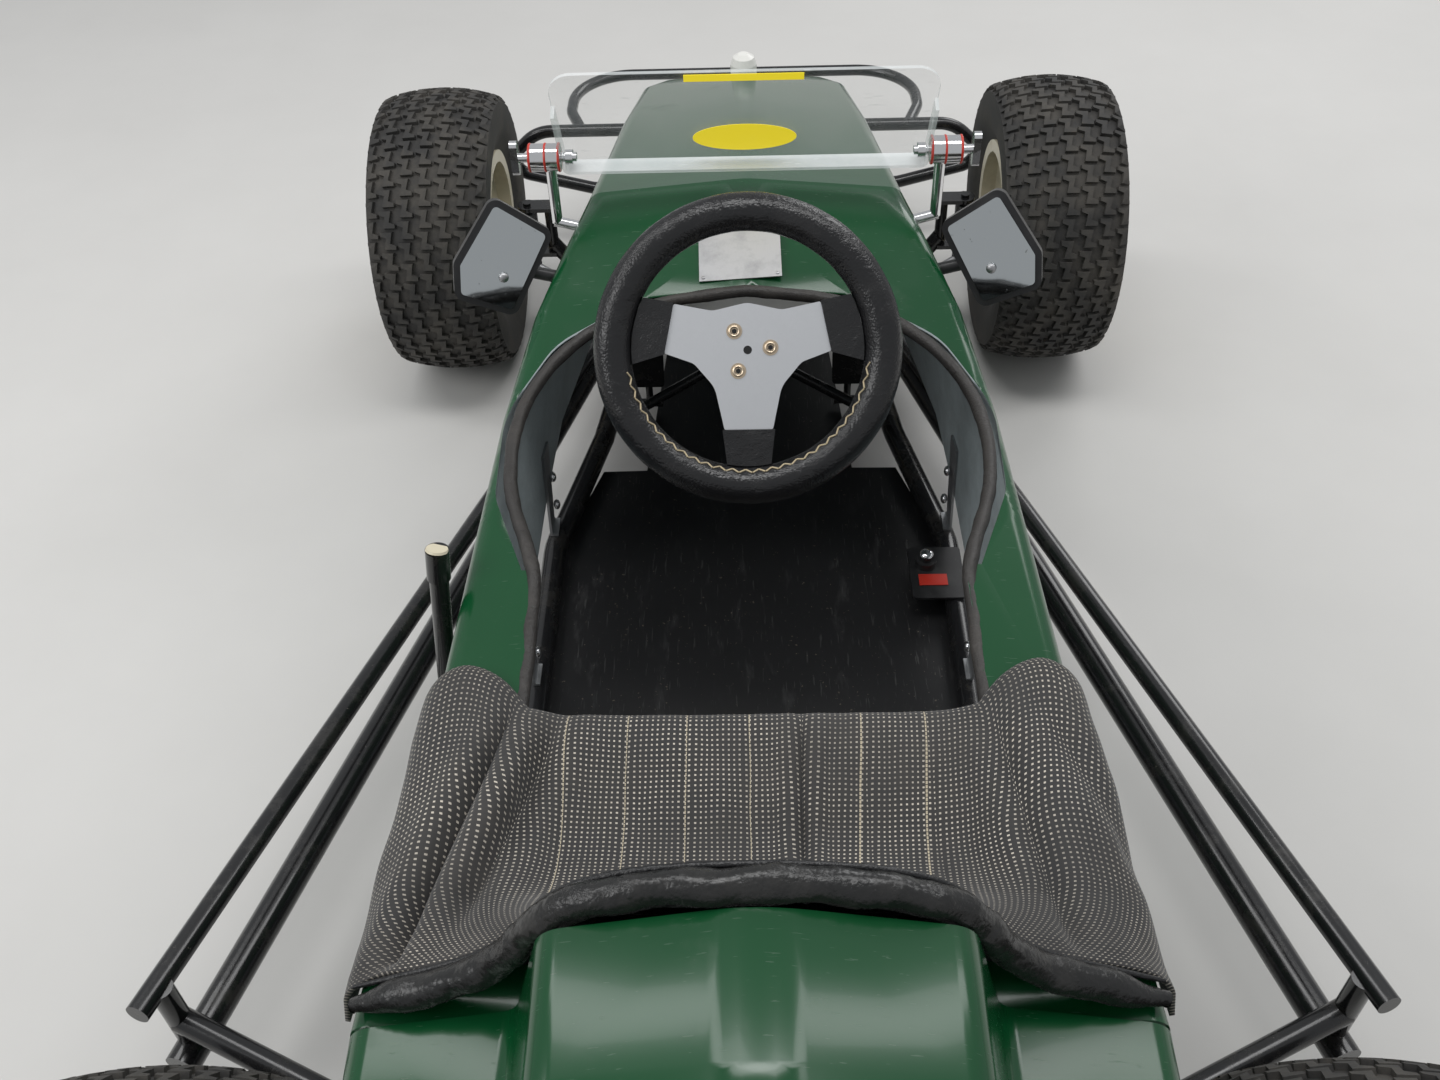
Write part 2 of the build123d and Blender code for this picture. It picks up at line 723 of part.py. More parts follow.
spoke_half = [(0, 46), (34, 38.5), (72, 46), (82, -2), (53, -12.5), (33, -36), (24, -78)]
spoke_bends = [20, 20, 2, 2, 14, 30, 2, 2, 30, 14, 2, 2, 20]
with BuildPart() as steering_spokes:
    with BuildSketch(across_column(plate_back)):
        with BuildLine():
            FilletPolyline(*both_halves(spoke_half), radius=spoke_bends, close=True)
        make_face()
    extrude(amount=spoke_plate)
steering_spokes.part.label = "steering_spokes"
export_step(steering_spokes.part, "parts/steering_spokes.step")

side_cover = [(72.4, 47), (82.4, -3), (128, -16), (128, 58)]
bottom_cover = [(26, -78 - gap), (20, -128)]
with BuildPart() as spoke_covers:
    with BuildSketch(across_column(cover_plate / 2)):
        with BuildLine():
            Polyline(*side_cover, close=True)
        make_face()
        mirror(about=Plane.YZ)
        with BuildLine():
            Polyline(*both_halves(bottom_cover), close=True)
        make_face()
        Circle(grip_ring_radius - grip_radius - gap, mode=Mode.INTERSECT)
    extrude(amount=cover_plate)
spoke_covers.part.label = "spoke_covers"
export_step(spoke_covers.part, "parts/spoke_covers.step")

# Column support: a bush on two legs that stand on the rails
support_foot = on_side_rail(330.0)
with BuildPart() as steering_support:
    add(tube(on_column(bush_at - bush_length / 2), on_column(bush_at + bush_length / 2), column_radius + 6))
    for side in (-1, 1):
        leg_foot = Vector(side * support_foot.X, support_foot.Y, support_foot.Z)
        add(tube(on_column(bush_at, -4, side * 12), leg_foot, 7))
    bore_top = on_column(bush_at - bush_length)
    add(tube(bore_top, on_column(bush_at + bush_length), column_radius + run_gap), mode=Mode.SUBTRACT)
    rail_seat = tube(on_side_rail(314.0), on_side_rail(380.0), rail_radius + gap)
    add(rail_seat, mode=Mode.SUBTRACT)
    add(rail_seat.mirror(Plane.YZ), mode=Mode.SUBTRACT)
steering_support.part.label = "steering_support"
export_step(steering_support.part, "parts/steering_support.step")


# Tie rods: an eye on the knuckle's pin and a looser eye round the drop arm's pin
def tie_rod(side, distance):
    """The rod of one side, whose inner eye lies at a distance along the column."""
    outer = Vector(side * rod_pin_x, rod_pin_y, eye_z)
    inner = on_column(distance, eye_bias - drop_arm_length)
    run = (outer - inner).normalized()
    with BuildPart() as rod:
        add(tube(inner + run * (loose_eye_radius + 2), outer - run * (rod_eye_radius - 2), rod_radius))
        with BuildSketch(Plane.XY.offset(eye_z - rod_eye_height / 2)):
            with Locations((outer.X, outer.Y)):
                Circle(rod_eye_radius)
        extrude(amount=rod_eye_height)
        with BuildSketch(Plane.XY.offset(eye_z - rod_eye_height)):
            with Locations((outer.X, outer.Y)):
                Circle(rod_pin_radius + run_gap)
        extrude(amount=2 * rod_eye_height, mode=Mode.SUBTRACT)
        add(tube(inner - column_down * 3, inner + column_down * 3, loose_eye_radius + 4))
        add(tube(inner - column_down * 12, inner + column_down * 12, loose_eye_radius), mode=Mode.SUBTRACT)
    return rod.part


for side, name, past_arm in rod_eyes:
    rod = tie_rod(side, drop_arm_at + past_arm)
    rod.label = f"{name}_tie_rod"
    export_step(rod, f"parts/{name}_tie_rod.step")

# Pedals, each on a pivot rod from the rail
pedal_y = 382.0
pedal_x = 137.0
pedal_rail = on_side_rail(pedal_y)
pedal_top_z = 175.0
with BuildPart() as pedal:
    pivot_root = Vector(pedal_rail.X - rail_radius - gap - 0.8, pedal_y, rail_z)
    add(tube(pivot_root, (pedal_x - 18, pedal_y, rail_z), 6))
    add(tube((pedal_x, pedal_y, rail_z), (pedal_x, pedal_y - 6, pedal_top_z + 8), 5))
    pad_plane = Plane(origin=(pedal_x, pedal_y - 8, pedal_top_z), x_dir=(1, 0, 0), z_dir=(0, -1, 0.25))
    with BuildSketch(pad_plane):
        RectangleRounded(46, 74, 6)
    extrude(amount=6)
export_both(pedal.part, "pedals")

# Mirrors on short stems, turned towards the driver
mirror_centre = Vector(266, 163, 483)
mirror_facing = Vector(-0.25, -0.90, 0.36).normalized()
mirror_across = Vector(0.90, -0.25, 0).normalized()
mirror_outline = [(-60, 17), (0, 66), (54, 2), (60, -36), (-2, -68)]
mirror_corner = 12.0
housing_depth = 14.0
glass_thickness = 3.0
glass_inset = 7.0
mirror_face = Plane(origin=mirror_centre, x_dir=mirror_across, z_dir=mirror_facing)
with BuildPart() as mirror_housing:
    with BuildSketch(mirror_face.offset(-housing_depth)):
        with BuildLine():
            FilletPolyline(*mirror_outline, radius=mirror_corner, close=True)
        make_face()
    extrude(amount=housing_depth)
    stem_root = mirror_face.from_local_coords((-18, -20, 2 - housing_depth))
    add(tube(stem_root, (190, 178, 440), 7))
    add(body_seat, mode=Mode.SUBTRACT)
export_pair(mirror_housing.part, "mirror")
with BuildPart() as mirror_glass:
    with BuildSketch(mirror_face):
        with BuildLine():
            FilletPolyline(*mirror_outline, radius=mirror_corner, close=True)
        make_face()
        offset(amount=-glass_inset)
    extrude(amount=glass_thickness)
export_both(mirror_glass.part, "mirror_glasses")

# Windscreen: a clear tray leaning back, its edges turned towards the driver
screen_y = 253.0
screen_z = 548.0
screen_lean = 17.0
screen_height = 125.0
screen_bottom_half = 199.0
screen_top_half = 205.0
screen_thickness = 4.0
screen_flange = 22.0
flange_reach = 84.0
screen_corners = [8, 8, 26, 26]
clamp_up = 17.0
clamp_pin_radius = 5.0
lean = math.radians(screen_lean)
screen_up = Vector(0, -math.sin(lean), math.cos(lean))
screen_in = Vector(0, -math.cos(lean), -math.sin(lean))
screen_foot = Vector(0, screen_y, screen_z)
screen_plane = Plane(origin=screen_foot, x_dir=(1, 0, 0), z_dir=screen_in)
washer_radius = 8.0
clamp_in = screen_thickness + gap + washer_radius
clamp_centre = screen_foot + screen_up * clamp_up + screen_in * clamp_in
screen_outline = [
    (-screen_bottom_half, 0),
    (screen_bottom_half, 0),
    (screen_top_half, screen_height),
    (-screen_top_half, screen_height),
]
with BuildPart() as windscreen:
    with BuildSketch(screen_plane):
        with BuildLine():
            FilletPolyline(*screen_outline, radius=screen_corners, close=True)
        make_face()
    extrude(amount=screen_thickness)
    with BuildSketch(screen_plane):
        with BuildLine():
            FilletPolyline(*screen_outline, radius=screen_corners, close=True)
        make_face()
        offset(amount=-screen_thickness, mode=Mode.SUBTRACT)
        with Locations((0, flange_reach / 2 - 5)):
            Rectangle(3 * screen_top_half, flange_reach + 10, mode=Mode.INTERSECT)
    extrude(amount=screen_flange)
    reach = Vector(screen_top_half + 20, 0, 0)
    add(tube(clamp_centre - reach, clamp_centre + reach, clamp_pin_radius + gap), mode=Mode.SUBTRACT)
windscreen.part.label = "windscreen"
export_step(windscreen.part, "parts/windscreen.step")

# Screen clamps: a pin through the tray's edge, a knob with a wing nut and a post to the body
edge_slope = (screen_top_half - screen_bottom_half) / screen_height
clamp_knob_radius = 15.0
clamp_edge = screen_bottom_half + edge_slope * clamp_up
knob_x = clamp_edge + gap + clamp_knob_radius * edge_slope
washer_x = clamp_edge - screen_thickness - gap - washer_radius * edge_slope
post_x = knob_x + 12.0
post_bend_z = 480.0
with BuildPart() as screen_clamp:
    for start_x, end_x, radius in (
        (washer_x - 12, knob_x + 50, clamp_pin_radius),
        (washer_x - 8, washer_x, washer_radius),
        (knob_x, knob_x + 34, clamp_knob_radius),
    ):
        add(tube(clamp_centre + Vector(start_x, 0, 0), clamp_centre + Vector(end_x, 0, 0), radius))
    nut_centre = clamp_centre + Vector(knob_x + 46, 0, 0)
    with BuildSketch(Plane(origin=nut_centre, x_dir=(0, 0, 1), z_dir=(1, 0, 0))):
        SlotOverall(40, 12)
    extrude(amount=8)
    post_bend = Vector(post_x, clamp_centre.Y, post_bend_z)
    add(tube(clamp_centre + Vector(post_x, 0, 0), post_bend, 6))
    add(tube(post_bend + Vector(3, 0, 1), post_bend - Vector(50, 0, 14), 6))
    add(body_seat, mode=Mode.SUBTRACT)
export_both(screen_clamp.part, "screen_clamps")

# Round knob on the nose
knob_y = 984.0
knob_radius = 21.0
knob_crown_z = 281.0
knob_height = 31.0
knob_top_z = knob_crown_z + knob_height
knob_side = [
    (0, knob_crown_z - 25),
    (knob_radius, knob_crown_z - 25),
    (knob_radius, knob_top_z - 16),
    (knob_radius * 0.8, knob_top_z - 5),
    (knob_radius * 0.4, knob_top_z),
    (0, knob_top_z),
]
with BuildPart() as nose_knob:
    with BuildSketch(across(knob_y)):
        with BuildLine():
            Polyline(*knob_side, close=True)
        make_face()
    revolve(axis=Axis((0, knob_y, 0), (0, 0, 1)))
    add(body_seat, mode=Mode.SUBTRACT)
nose_knob.part.label = "nose_knob"
export_step(nose_knob.part, "parts/nose_knob.step")

# Padded seat cover: cushion and backrest
cushion_top = 118.0
seat_bottom = pan_top + gap
seat_profile = [
    (-183, seat_bottom),
    (-183, cushion_top - 6),
    (-196, cushion_top),
    (-332, cushion_top - 4),
    (-648, 545),
    (-664, 545),
    (-664, 520),
    (-440, 135),
    (-360, seat_bottom),
]
seat_front_view = [(224, 60), (224, 380), (190, 396), (152, 408), (122, 516), (0, 540)]
with BuildPart() as seat_cover:
    with BuildSketch(along(-rail_half)):
        with BuildLine():
            FilletPolyline(*seat_profile, radius=[1, 4, 30, 110, 7, 7, 20, 30, 1], close=True)
        make_face()
    extrude(amount=2 * rail_half)
    with BuildSketch(across(0)):
        with BuildLine():
            Polyline(*both_halves(seat_front_view), close=True)
        make_face()
    extrude(amount=-body_rear_y, mode=Mode.INTERSECT)
seat_cover.part.label = "seat_cover"
export_step(seat_cover.part, "parts/seat_cover.step")

# Flaps of the seat cover that lie over the shoulders of the body
flap_front_y = -400.0
flap_rear_y = body_rear_y + 30.0
flap_bottom_z = 345.0
with BuildPart() as seat_flap:
    add(body_solid(-gap - flap_thickness))
    add(body_seat, mode=Mode.SUBTRACT)
    with BuildSketch(Plane.XY.offset(flap_bottom_z)):
        with Locations((opening_half[-1][0] + 150, (flap_front_y + flap_rear_y) / 2)):
            Rectangle(300, flap_front_y - flap_rear_y)
    extrude(amount=200, mode=Mode.INTERSECT)
export_both(seat_flap.part, "seat_flaps")

# Padded roll round the front edge of the engine cover
roll_y = body_rear_y - cover_gap + roll_radius + gap
roll_half = [(0, 562), (140, 534), (172, 424), (294, 404)]
with BuildPart() as head_roll:
    roll_points = [(-x, roll_y, z) for x, z in reversed(roll_half)]
    roll_points += [(x, roll_y, z) for x, z in roll_half[1:]]
    add(bent_tube(roll_points, [22, 20, 120, 20, 22], roll_radius))
    add(body_seat, mode=Mode.SUBTRACT)
head_roll.part.label = "head_roll"
export_step(head_roll.part, "parts/head_roll.step")

# Engine, as one block on its plate
engine_half = 95.0
engine_x = 10.0
engine_top = 385.0
with BuildPart() as engine_block:
    with BuildSketch(Plane.XY.offset(engine_plate_top)):
        with Locations((engine_x, (engine_front_y + engine_rear_y) / 2)):
            Rectangle(2 * engine_half, engine_front_y - engine_rear_y - 10)
    extrude(amount=engine_top - engine_plate_top)
engine_block.part.label = "engine_block"
export_step(engine_block.part, "parts/engine_block.step")

# Hand lever outside the body, on an outrigger from the left rail
lever_y = -287.0
lever_half = 315.0
grip_foot = Vector(-285, lever_y + 29, 418)
with BuildPart() as hand_lever:
    outrigger_root = Vector(-rail_half - rail_radius - gap, lever_y, rail_z)
    add(tube(outrigger_root, (-lever_half - 11, lever_y, rail_z), 8))
    add(tube((-lever_half, lever_y, rail_z), grip_foot, 9))
    add(tube(grip_foot, grip_foot + Vector(3, 4, 32), 11))
hand_lever.part.label = "hand_lever"
export_step(hand_lever.part, "parts/hand_lever.step")

# Stop switch on a plate over the right rail
switch_x = 212.0
switch_y = 45.0
switch_plate_z = rail_top + gap
with BuildPart() as stop_switch:
    with BuildSketch(Plane.XY.offset(switch_plate_z)):
        with Locations((switch_x + 12, switch_y - 14)):
            RectangleRounded(64, 84, 5)
    extrude(amount=3)
    for height, radius in ((12, 13), (21, 8)):
        foot = Vector(switch_x, switch_y, switch_plate_z)
        add(tube(foot, foot + Vector(0, 0, height), radius))
stop_switch.part.label = "stop_switch"
export_step(stop_switch.part, "parts/stop_switch.step")

# Flat brackets between the rails and the inside of the body
bracket_foot_z = rail_top + gap
bracket_thickness = 3.0
bracket_top_z = 240.0
bracket_ys = [120.0, -120.0, -500.0]
with BuildPart() as body_brackets:
    for bracket_y in bracket_ys:
        for side in (-1, 1):
            with BuildSketch(Plane.XY.offset(bracket_foot_z)):
                with Locations((side * (rail_half + 25), bracket_y)):
                    Rectangle(60, 30)
            extrude(amount=bracket_top_z - bracket_foot_z)
    add(body_solid(skin + gap, 2 * inside, 0.0, -inside), mode=Mode.INTERSECT)
    bracket_drop = skirt_z - bracket_foot_z - bracket_thickness
    bracket_inner = body_solid(skin + gap + bracket_thickness, bracket_drop, 0.0, -inside)
    add(bracket_inner, mode=Mode.SUBTRACT)
body_brackets.part.label = "body_brackets"
export_step(body_brackets.part, "parts/body_brackets.step")
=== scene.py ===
import math
import random

import bmesh
import bpy
from mathutils import Matrix, Vector, noise
from mathutils.bvhtree import BVHTree


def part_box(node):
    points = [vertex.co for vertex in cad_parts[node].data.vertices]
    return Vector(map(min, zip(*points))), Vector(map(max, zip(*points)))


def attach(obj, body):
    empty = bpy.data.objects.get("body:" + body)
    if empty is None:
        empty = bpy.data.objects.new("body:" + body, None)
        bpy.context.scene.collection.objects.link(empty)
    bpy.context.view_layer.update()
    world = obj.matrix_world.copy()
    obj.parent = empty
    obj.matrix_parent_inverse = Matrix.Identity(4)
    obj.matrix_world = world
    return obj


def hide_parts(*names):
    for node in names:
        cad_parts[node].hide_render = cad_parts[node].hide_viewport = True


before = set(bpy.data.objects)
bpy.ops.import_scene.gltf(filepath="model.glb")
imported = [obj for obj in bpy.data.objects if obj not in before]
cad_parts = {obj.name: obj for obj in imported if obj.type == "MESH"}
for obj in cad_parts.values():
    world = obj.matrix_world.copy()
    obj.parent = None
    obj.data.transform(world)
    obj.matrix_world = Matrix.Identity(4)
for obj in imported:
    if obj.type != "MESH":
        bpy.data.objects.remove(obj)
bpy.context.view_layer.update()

bl_info = {
    "name": "Racing kart dresser",
    "version": (1, 0, 0),
    "blender": (4, 5, 0),
    "location": "View3D > Sidebar > Kart",
    "description": "Gives the child's racing kart its materials, tread, padding and fittings",
    "category": "Object",
}

# Wheels, in metres
AXLE_Z = 0.203
FRONT_Y, REAR_Y = 0.660, -0.840
FRONT_X, REAR_X = 0.434, 0.452
TYRE_R = 0.203
TYRES = [
    # name, side, centre x, axle y, width, body
    ("left_front", -1, FRONT_X, FRONT_Y, 0.165, "left_front_wheel"),
    ("right_front", 1, FRONT_X, FRONT_Y, 0.165, "right_front_wheel"),
    ("left_rear", -1, REAR_X, REAR_Y, 0.200, "rear_wheels"),
    ("right_rear", 1, REAR_X, REAR_Y, 0.200, "rear_wheels"),
]

# Steering column and wheel
WHEEL_CENTRE = Vector((0, -0.031, 0.498))
COLUMN_DOWN = Vector((0, 0.79547, -0.60599))
COLUMN_UP = Vector((0, 0.60599, 0.79547))
ACROSS = Vector((1, 0, 0))
GRIP_RING_R, GRIP_R = 0.1335, 0.0188

# Stitched seams of the seat cloth, as distances from its middle
SEAMS = [-0.154, -0.104, -0.055, -0.003, 0.091, 0.144]

# Materials by their plain names
finishes = {}


# Shader maths

class Value:
    """A socket of a material whose operators add Math nodes."""

    def __init__(self, finish, socket):
        self.finish = finish
        self.socket = socket

    def maths(self, operation, a, b):
        return self.finish.node("ShaderNodeMath", 0, {"operation": operation}, {0: a, 1: b})

    def __add__(self, other):
        return self.maths("ADD", self, other)

    def __radd__(self, other):
        return self.maths("ADD", other, self)

    def __sub__(self, other):
        return self.maths("SUBTRACT", self, other)

    def __rsub__(self, other):
        return self.maths("SUBTRACT", other, self)

    def __mul__(self, other):
        return self.maths("MULTIPLY", self, other)

    def __rmul__(self, other):
        return self.maths("MULTIPLY", other, self)

    def __lt__(self, other):
        return self.maths("LESS_THAN", self, other)


class Finish:
    """One procedural material round its Principled shader, whose constants are set by name."""

    def __init__(self, name, **constants):
        self.material = bpy.data.materials.new(name)
        self.material.use_nodes = True
        self.tree = self.material.node_tree
        self.shader = self.tree.nodes["Principled BSDF"]
        for socket, value in constants.items():
            self.shader.inputs[socket.replace("_", " ")].default_value = value
        self.place = self.node("ShaderNodeTexCoord", "Object")

    def node(self, kind, output, settings=None, inputs=None):
        """Adds a node, sets it, gives its sockets values or links, and returns an output."""
        made = self.tree.nodes.new(kind)
        for name, value in (settings or {}).items():
            setattr(made, name, value)
        for name, value in (inputs or {}).items():
            if isinstance(value, Value):
                self.tree.links.new(value.socket, made.inputs[name])
            else:
                made.inputs[name].default_value = value
        return Value(self, made.outputs[output])

    def noise(self, scale, detail=4.0, roughness=0.6, place=None):
        return self.node("ShaderNodeTexNoise", 0, None, {
            "Vector": place or self.place, "Scale": scale, "Detail": detail, "Roughness": roughness,
        })

    def pebbles(self, scale):
        inputs = {"Vector": self.place, "Scale": scale}
        return self.node("ShaderNodeTexVoronoi", "Distance", None, inputs)

    def stretched(self, x, y, z):
        inputs = {"Vector": self.place, "Scale": (x, y, z)}
        return self.node("ShaderNodeMapping", 0, None, inputs)

    def absolute(self, value):
        return self.node("ShaderNodeMath", 0, {"operation": "ABSOLUTE"}, {0: value})

    def ramp(self, factor, low, high):
        """0 below low, 1 above high."""
        inputs = {"Value": factor, "From Min": low, "From Max": high}
        return self.node("ShaderNodeMapRange", 0, {"clamp": True}, inputs)

    def mix(self, factor, a, b):
        """Goes from colour a to colour b."""
        a, b = (end if isinstance(end, Value) else (*end, 1.0) for end in (a, b))
        return self.node("ShaderNodeMix", 2, {"data_type": "RGBA"}, {0: factor, 6: a, 7: b})

    def bump(self, height, strength, distance=0.001):
        inputs = {"Height": height, "Strength": strength, "Distance": distance}
        self.feed("Normal", self.node("ShaderNodeBump", 0, None, inputs))

    def feed(self, socket, value):
        self.tree.links.new(value.socket, self.shader.inputs[socket])


def moulded_green(colour):
    """Deep green gelcoat with a clear shine, fine scratches and a film of dust."""
    f = Finish("moulded_green", IOR=1.5, Coat_Weight=0.15, Coat_Roughness=0.06)
    cloud = f.noise(4.0, 3.0)
    scratch = f.ramp(f.noise(60.0, 2.0, 0.5, f.stretched(1, 9, 2)), 0.68, 0.73)
    dust = f.ramp(f.noise(14.0, 8.0, 0.7), 0.6, 0.88)
    base = f.mix(cloud, tuple(c * 0.85 for c in colour), tuple(c * 1.12 for c in colour))
    base = f.mix(dust * 0.07, base, (0.16, 0.17, 0.13))
    f.feed("Base Color", f.mix(scratch * 0.05, base, (0.3, 0.36, 0.3)))
    f.feed("Roughness", 0.2 + dust * 0.2 + scratch * 0.1)
    f.bump(f.noise(7.0, 2.0), 0.06, 0.003)
    return f.material


def black_enamel():
    """Gloss black paint on tube, dusty and rubbed through in small chips."""
    f = Finish("black_enamel", Coat_Weight=0.3)
    chips = f.ramp(f.noise(130.0, 5.0, 0.75), 0.69, 0.72)
    dust = f.ramp(f.noise(22.0, 8.0, 0.75), 0.5, 0.8)
    base = f.mix(dust * 0.18, (0.011, 0.011, 0.012), (0.16, 0.14, 0.11))
    f.feed("Base Color", f.mix(chips * 0.7, base, (0.22, 0.19, 0.16)))
    f.feed("Roughness", 0.22 + dust * 0.3 + chips * 0.3)
    f.bump(f.noise(160.0, 3.0) - chips, 0.2, 0.0004)
    return f.material


def scratched_floor():
    """Black floor pan with a worn sheen, long scuffs and grit."""
    f = Finish("scratched_floor")
    scuff = f.ramp(f.noise(26.0, 7.0, 0.7, f.stretched(1.6, 0.5, 1)), 0.57, 0.75)
    lines = f.ramp(f.noise(90.0, 2.0, 0.5, f.stretched(5, 0.35, 1)), 0.66, 0.7)
    grit = f.ramp(f.noise(240.0, 2.0), 0.7, 0.74)
    base = f.mix(scuff * 0.3, (0.012, 0.012, 0.013), (0.10, 0.10, 0.10))
    base = f.mix(lines * 0.14, base, (0.25, 0.25, 0.24))
    f.feed("Base Color", f.mix(grit * 0.5, base, (0.25, 0.21, 0.16)))
    f.feed("Roughness", 0.42 + scuff * 0.3)
    f.bump(scuff + lines * 0.5, 0.3, 0.0005)
    return f.material


def dusty_rubber():
    """Tyre rubber with pale dust and dry mud low in the tread."""
    f = Finish("dusty_rubber")
    dust = f.ramp(f.noise(16.0, 9.0, 0.75), 0.42, 0.78)
    mud = f.ramp(f.noise(34.0, 8.0, 0.7), 0.66, 0.74)
    grain = f.noise(320.0, 4.0)
    base = f.mix(dust * 0.6, (0.026, 0.025, 0.024), (0.150, 0.134, 0.112))
    f.feed("Base Color", f.mix(mud * 0.6, base, (0.19, 0.120, 0.07)))
    f.feed("Roughness", 0.72 + dust * 0.2)
    f.bump(grain + mud * 0.7, 0.35, 0.0006)
    return f.material


def cream_enamel():
    """Cream paint on pressed steel, with grime towards the hub."""
    f = Finish("cream_enamel")
    grime = f.ramp(f.noise(24.0, 7.0, 0.7), 0.5, 0.8)
    rust = f.ramp(f.noise(70.0, 6.0, 0.7), 0.68, 0.72)
    base = f.mix(grime * 0.5, (0.66, 0.60, 0.45), (0.34, 0.29, 0.20))
    f.feed("Base Color", f.mix(rust * 0.8, base, (0.16, 0.06, 0.02)))
    f.feed("Roughness", 0.35 + grime * 0.3)
    f.bump(rust, -0.3, 0.0004)
    return f.material


def grained_leather(name, colour, worn, grain_scale, roughness):
    """Leather or leathercloth with pebble grain, creases and rubbed high spots."""
    f = Finish(name, Specular_IOR_Level=0.5)
    pebble = f.pebbles(grain_scale)
    crease = f.ramp(f.noise(26.0, 6.0, 0.65), 0.5, 0.62)
    rub = f.ramp(f.noise(18.0, 7.0, 0.7), 0.5, 0.8)
    f.feed("Base Color", f.mix(rub * 0.6, colour, worn))
    f.feed("Roughness", roughness + rub * 0.14 - pebble * 0.1)
    f.bump(1.0 - pebble + crease * 1.6, 0.45, 0.0007)
    return f.material


def dotted_cloth():
    """Charcoal seat cloth with rows of small pale dots, on the piece's own UV map in metres."""
    f = Finish("dotted_cloth", Sheen_Weight=0.15)
    uv = f.node("ShaderNodeTexCoord", "UV")
    across = f.node("ShaderNodeSeparateXYZ", 0, None, {0: uv})
    lengthwise = f.node("ShaderNodeSeparateXYZ", 1, None, {0: uv})

    def from_middle(value, pitch):
        part = f.node("ShaderNodeMath", 0, {"operation": "FRACT"}, {0: value * (1 / pitch)})
        return f.absolute(part - 0.5)

    dot_pitch, dot_half = 0.0045, 0.17
    stitch_pitch, thread_half = 0.0036, 0.0007
    dot = from_middle(across, dot_pitch) < dot_half
    dot = dot * (from_middle(lengthwise, dot_pitch) < dot_half)
    seam = 0.0
    for place in SEAMS:
        seam = (f.absolute(across - place) < thread_half) + seam
    stitch = seam * (from_middle(lengthwise, stitch_pitch) < 0.4)
    worn = f.ramp(f.noise(9.0, 8.0, 0.7), 0.40, 0.62)
    dust = f.ramp(f.noise(7.0, 8.0, 0.7), 0.45, 0.8)
    base = f.mix(dust, (0.022, 0.021, 0.021), (0.055, 0.051, 0.047))
    base = f.mix(dot * (0.4 + worn * 0.6), base, (0.58, 0.53, 0.45))
    f.feed("Base Color", f.mix(stitch, base, (0.46, 0.40, 0.29)))
    f.feed("Roughness", 0.72 + dust * 0.2)
    f.bump(dot + f.noise(420.0, 2.0) * 0.6 + stitch, 0.3, 0.0004)
    return f.material


def metal(name, colour, roughness, spread, streak=(1, 1, 1), stain=0.2):
    """Bare or plated metal with fine streaks and some dull stains."""
    f = Finish(name, Metallic=1.0)
    streaks = f.noise(180.0, 4.0, 0.6, f.stretched(*streak))
    dull = f.ramp(f.noise(30.0, 7.0, 0.7), 0.5, 0.8)
    f.feed("Base Color", f.mix(dull * stain, colour, tuple(c * 0.45 for c in colour)))
    f.feed("Roughness", roughness + streaks * spread + dull * stain * 0.5)
    f.bump(streaks, 0.08, 0.0003)
    return f.material


def satin_plastic(name, colour, roughness, painted_glow=0.0):
    """Moulded plastic with a fine grain, dust and a few scuffs. Thin film has a painted glow for
    light through it.
    """
    f = Finish(name, Emission_Color=(*colour, 1.0), Emission_Strength=painted_glow)
    dust = f.ramp(f.noise(20.0, 8.0, 0.7), 0.5, 0.85)
    scuff = f.ramp(f.noise(110.0, 3.0, 0.6, f.stretched(4, 1, 1)), 0.68, 0.74)
    lighter = tuple(min(1.0, c * 0.7 + 0.09) for c in colour)
    f.feed("Base Color", f.mix(dust * 0.3 + scuff * 0.2, colour, lighter))
    f.feed("Roughness", roughness + dust * 0.18)
    f.bump(f.noise(500.0, 3.0), 0.12, 0.0003)
    return f.material


def clear_acrylic():
    """Clear sheet, a little hazy with fine scratches, with a painted highlight on its edges."""
    f = Finish("clear_acrylic", IOR=1.49, Roughness=0.04)
    haze = f.ramp(f.noise(11.0, 6.0, 0.65), 0.45, 0.8)
    scratch = f.ramp(f.noise(140.0, 2.0, 0.5, f.stretched(0.3, 2, 2)), 0.67, 0.71)
    normal = f.node("ShaderNodeTexCoord", "Normal")
    sheet_normal = (0, 0.956, 0.292)
    facing = f.node(
        "ShaderNodeVectorMath", "Value", {"operation": "DOT_PRODUCT"}, {0: normal, 1: sheet_normal},
    )
    # Edge faces turn more opaque and pale: a painted highlight where the edges catch the light
    edge = f.absolute(facing) < 0.6
    f.feed("Base Color", f.mix(haze, (0.78, 0.82, 0.82), (0.9, 0.91, 0.9)))
    f.feed("Alpha", 0.06 + haze * 0.05 + scratch * 0.1 + edge * 0.44)
    return f.material


def mirror_silver():
    """Silvered glass with a few specks."""
    f = Finish("mirror_silver", Metallic=1.0)
    speck = f.ramp(f.noise(170.0, 3.0), 0.7, 0.73)
    f.feed("Base Color", f.mix(speck * 0.5, (0.56, 0.59, 0.60), (0.25, 0.25, 0.23)))
    f.feed("Roughness", 0.03 + speck * 0.3)
    return f.material


def bare_glassfibre():
    """Pale grey inside face of the moulding, with a chopped-strand texture."""
    f = Finish("bare_glassfibre")
    strand = f.noise(90.0, 6.0, 0.7, f.stretched(1, 2, 2))
    dirt = f.ramp(f.noise(13.0, 7.0, 0.7), 0.45, 0.8)
    base = f.mix(strand, (0.34, 0.40, 0.42), (0.50, 0.56, 0.57))
    f.feed("Base Color", f.mix(dirt * 0.5, base, (0.16, 0.17, 0.17)))
    f.feed("Roughness", 0.6 + strand * 0.2)
    f.bump(strand, 0.5, 0.0008)
    return f.material


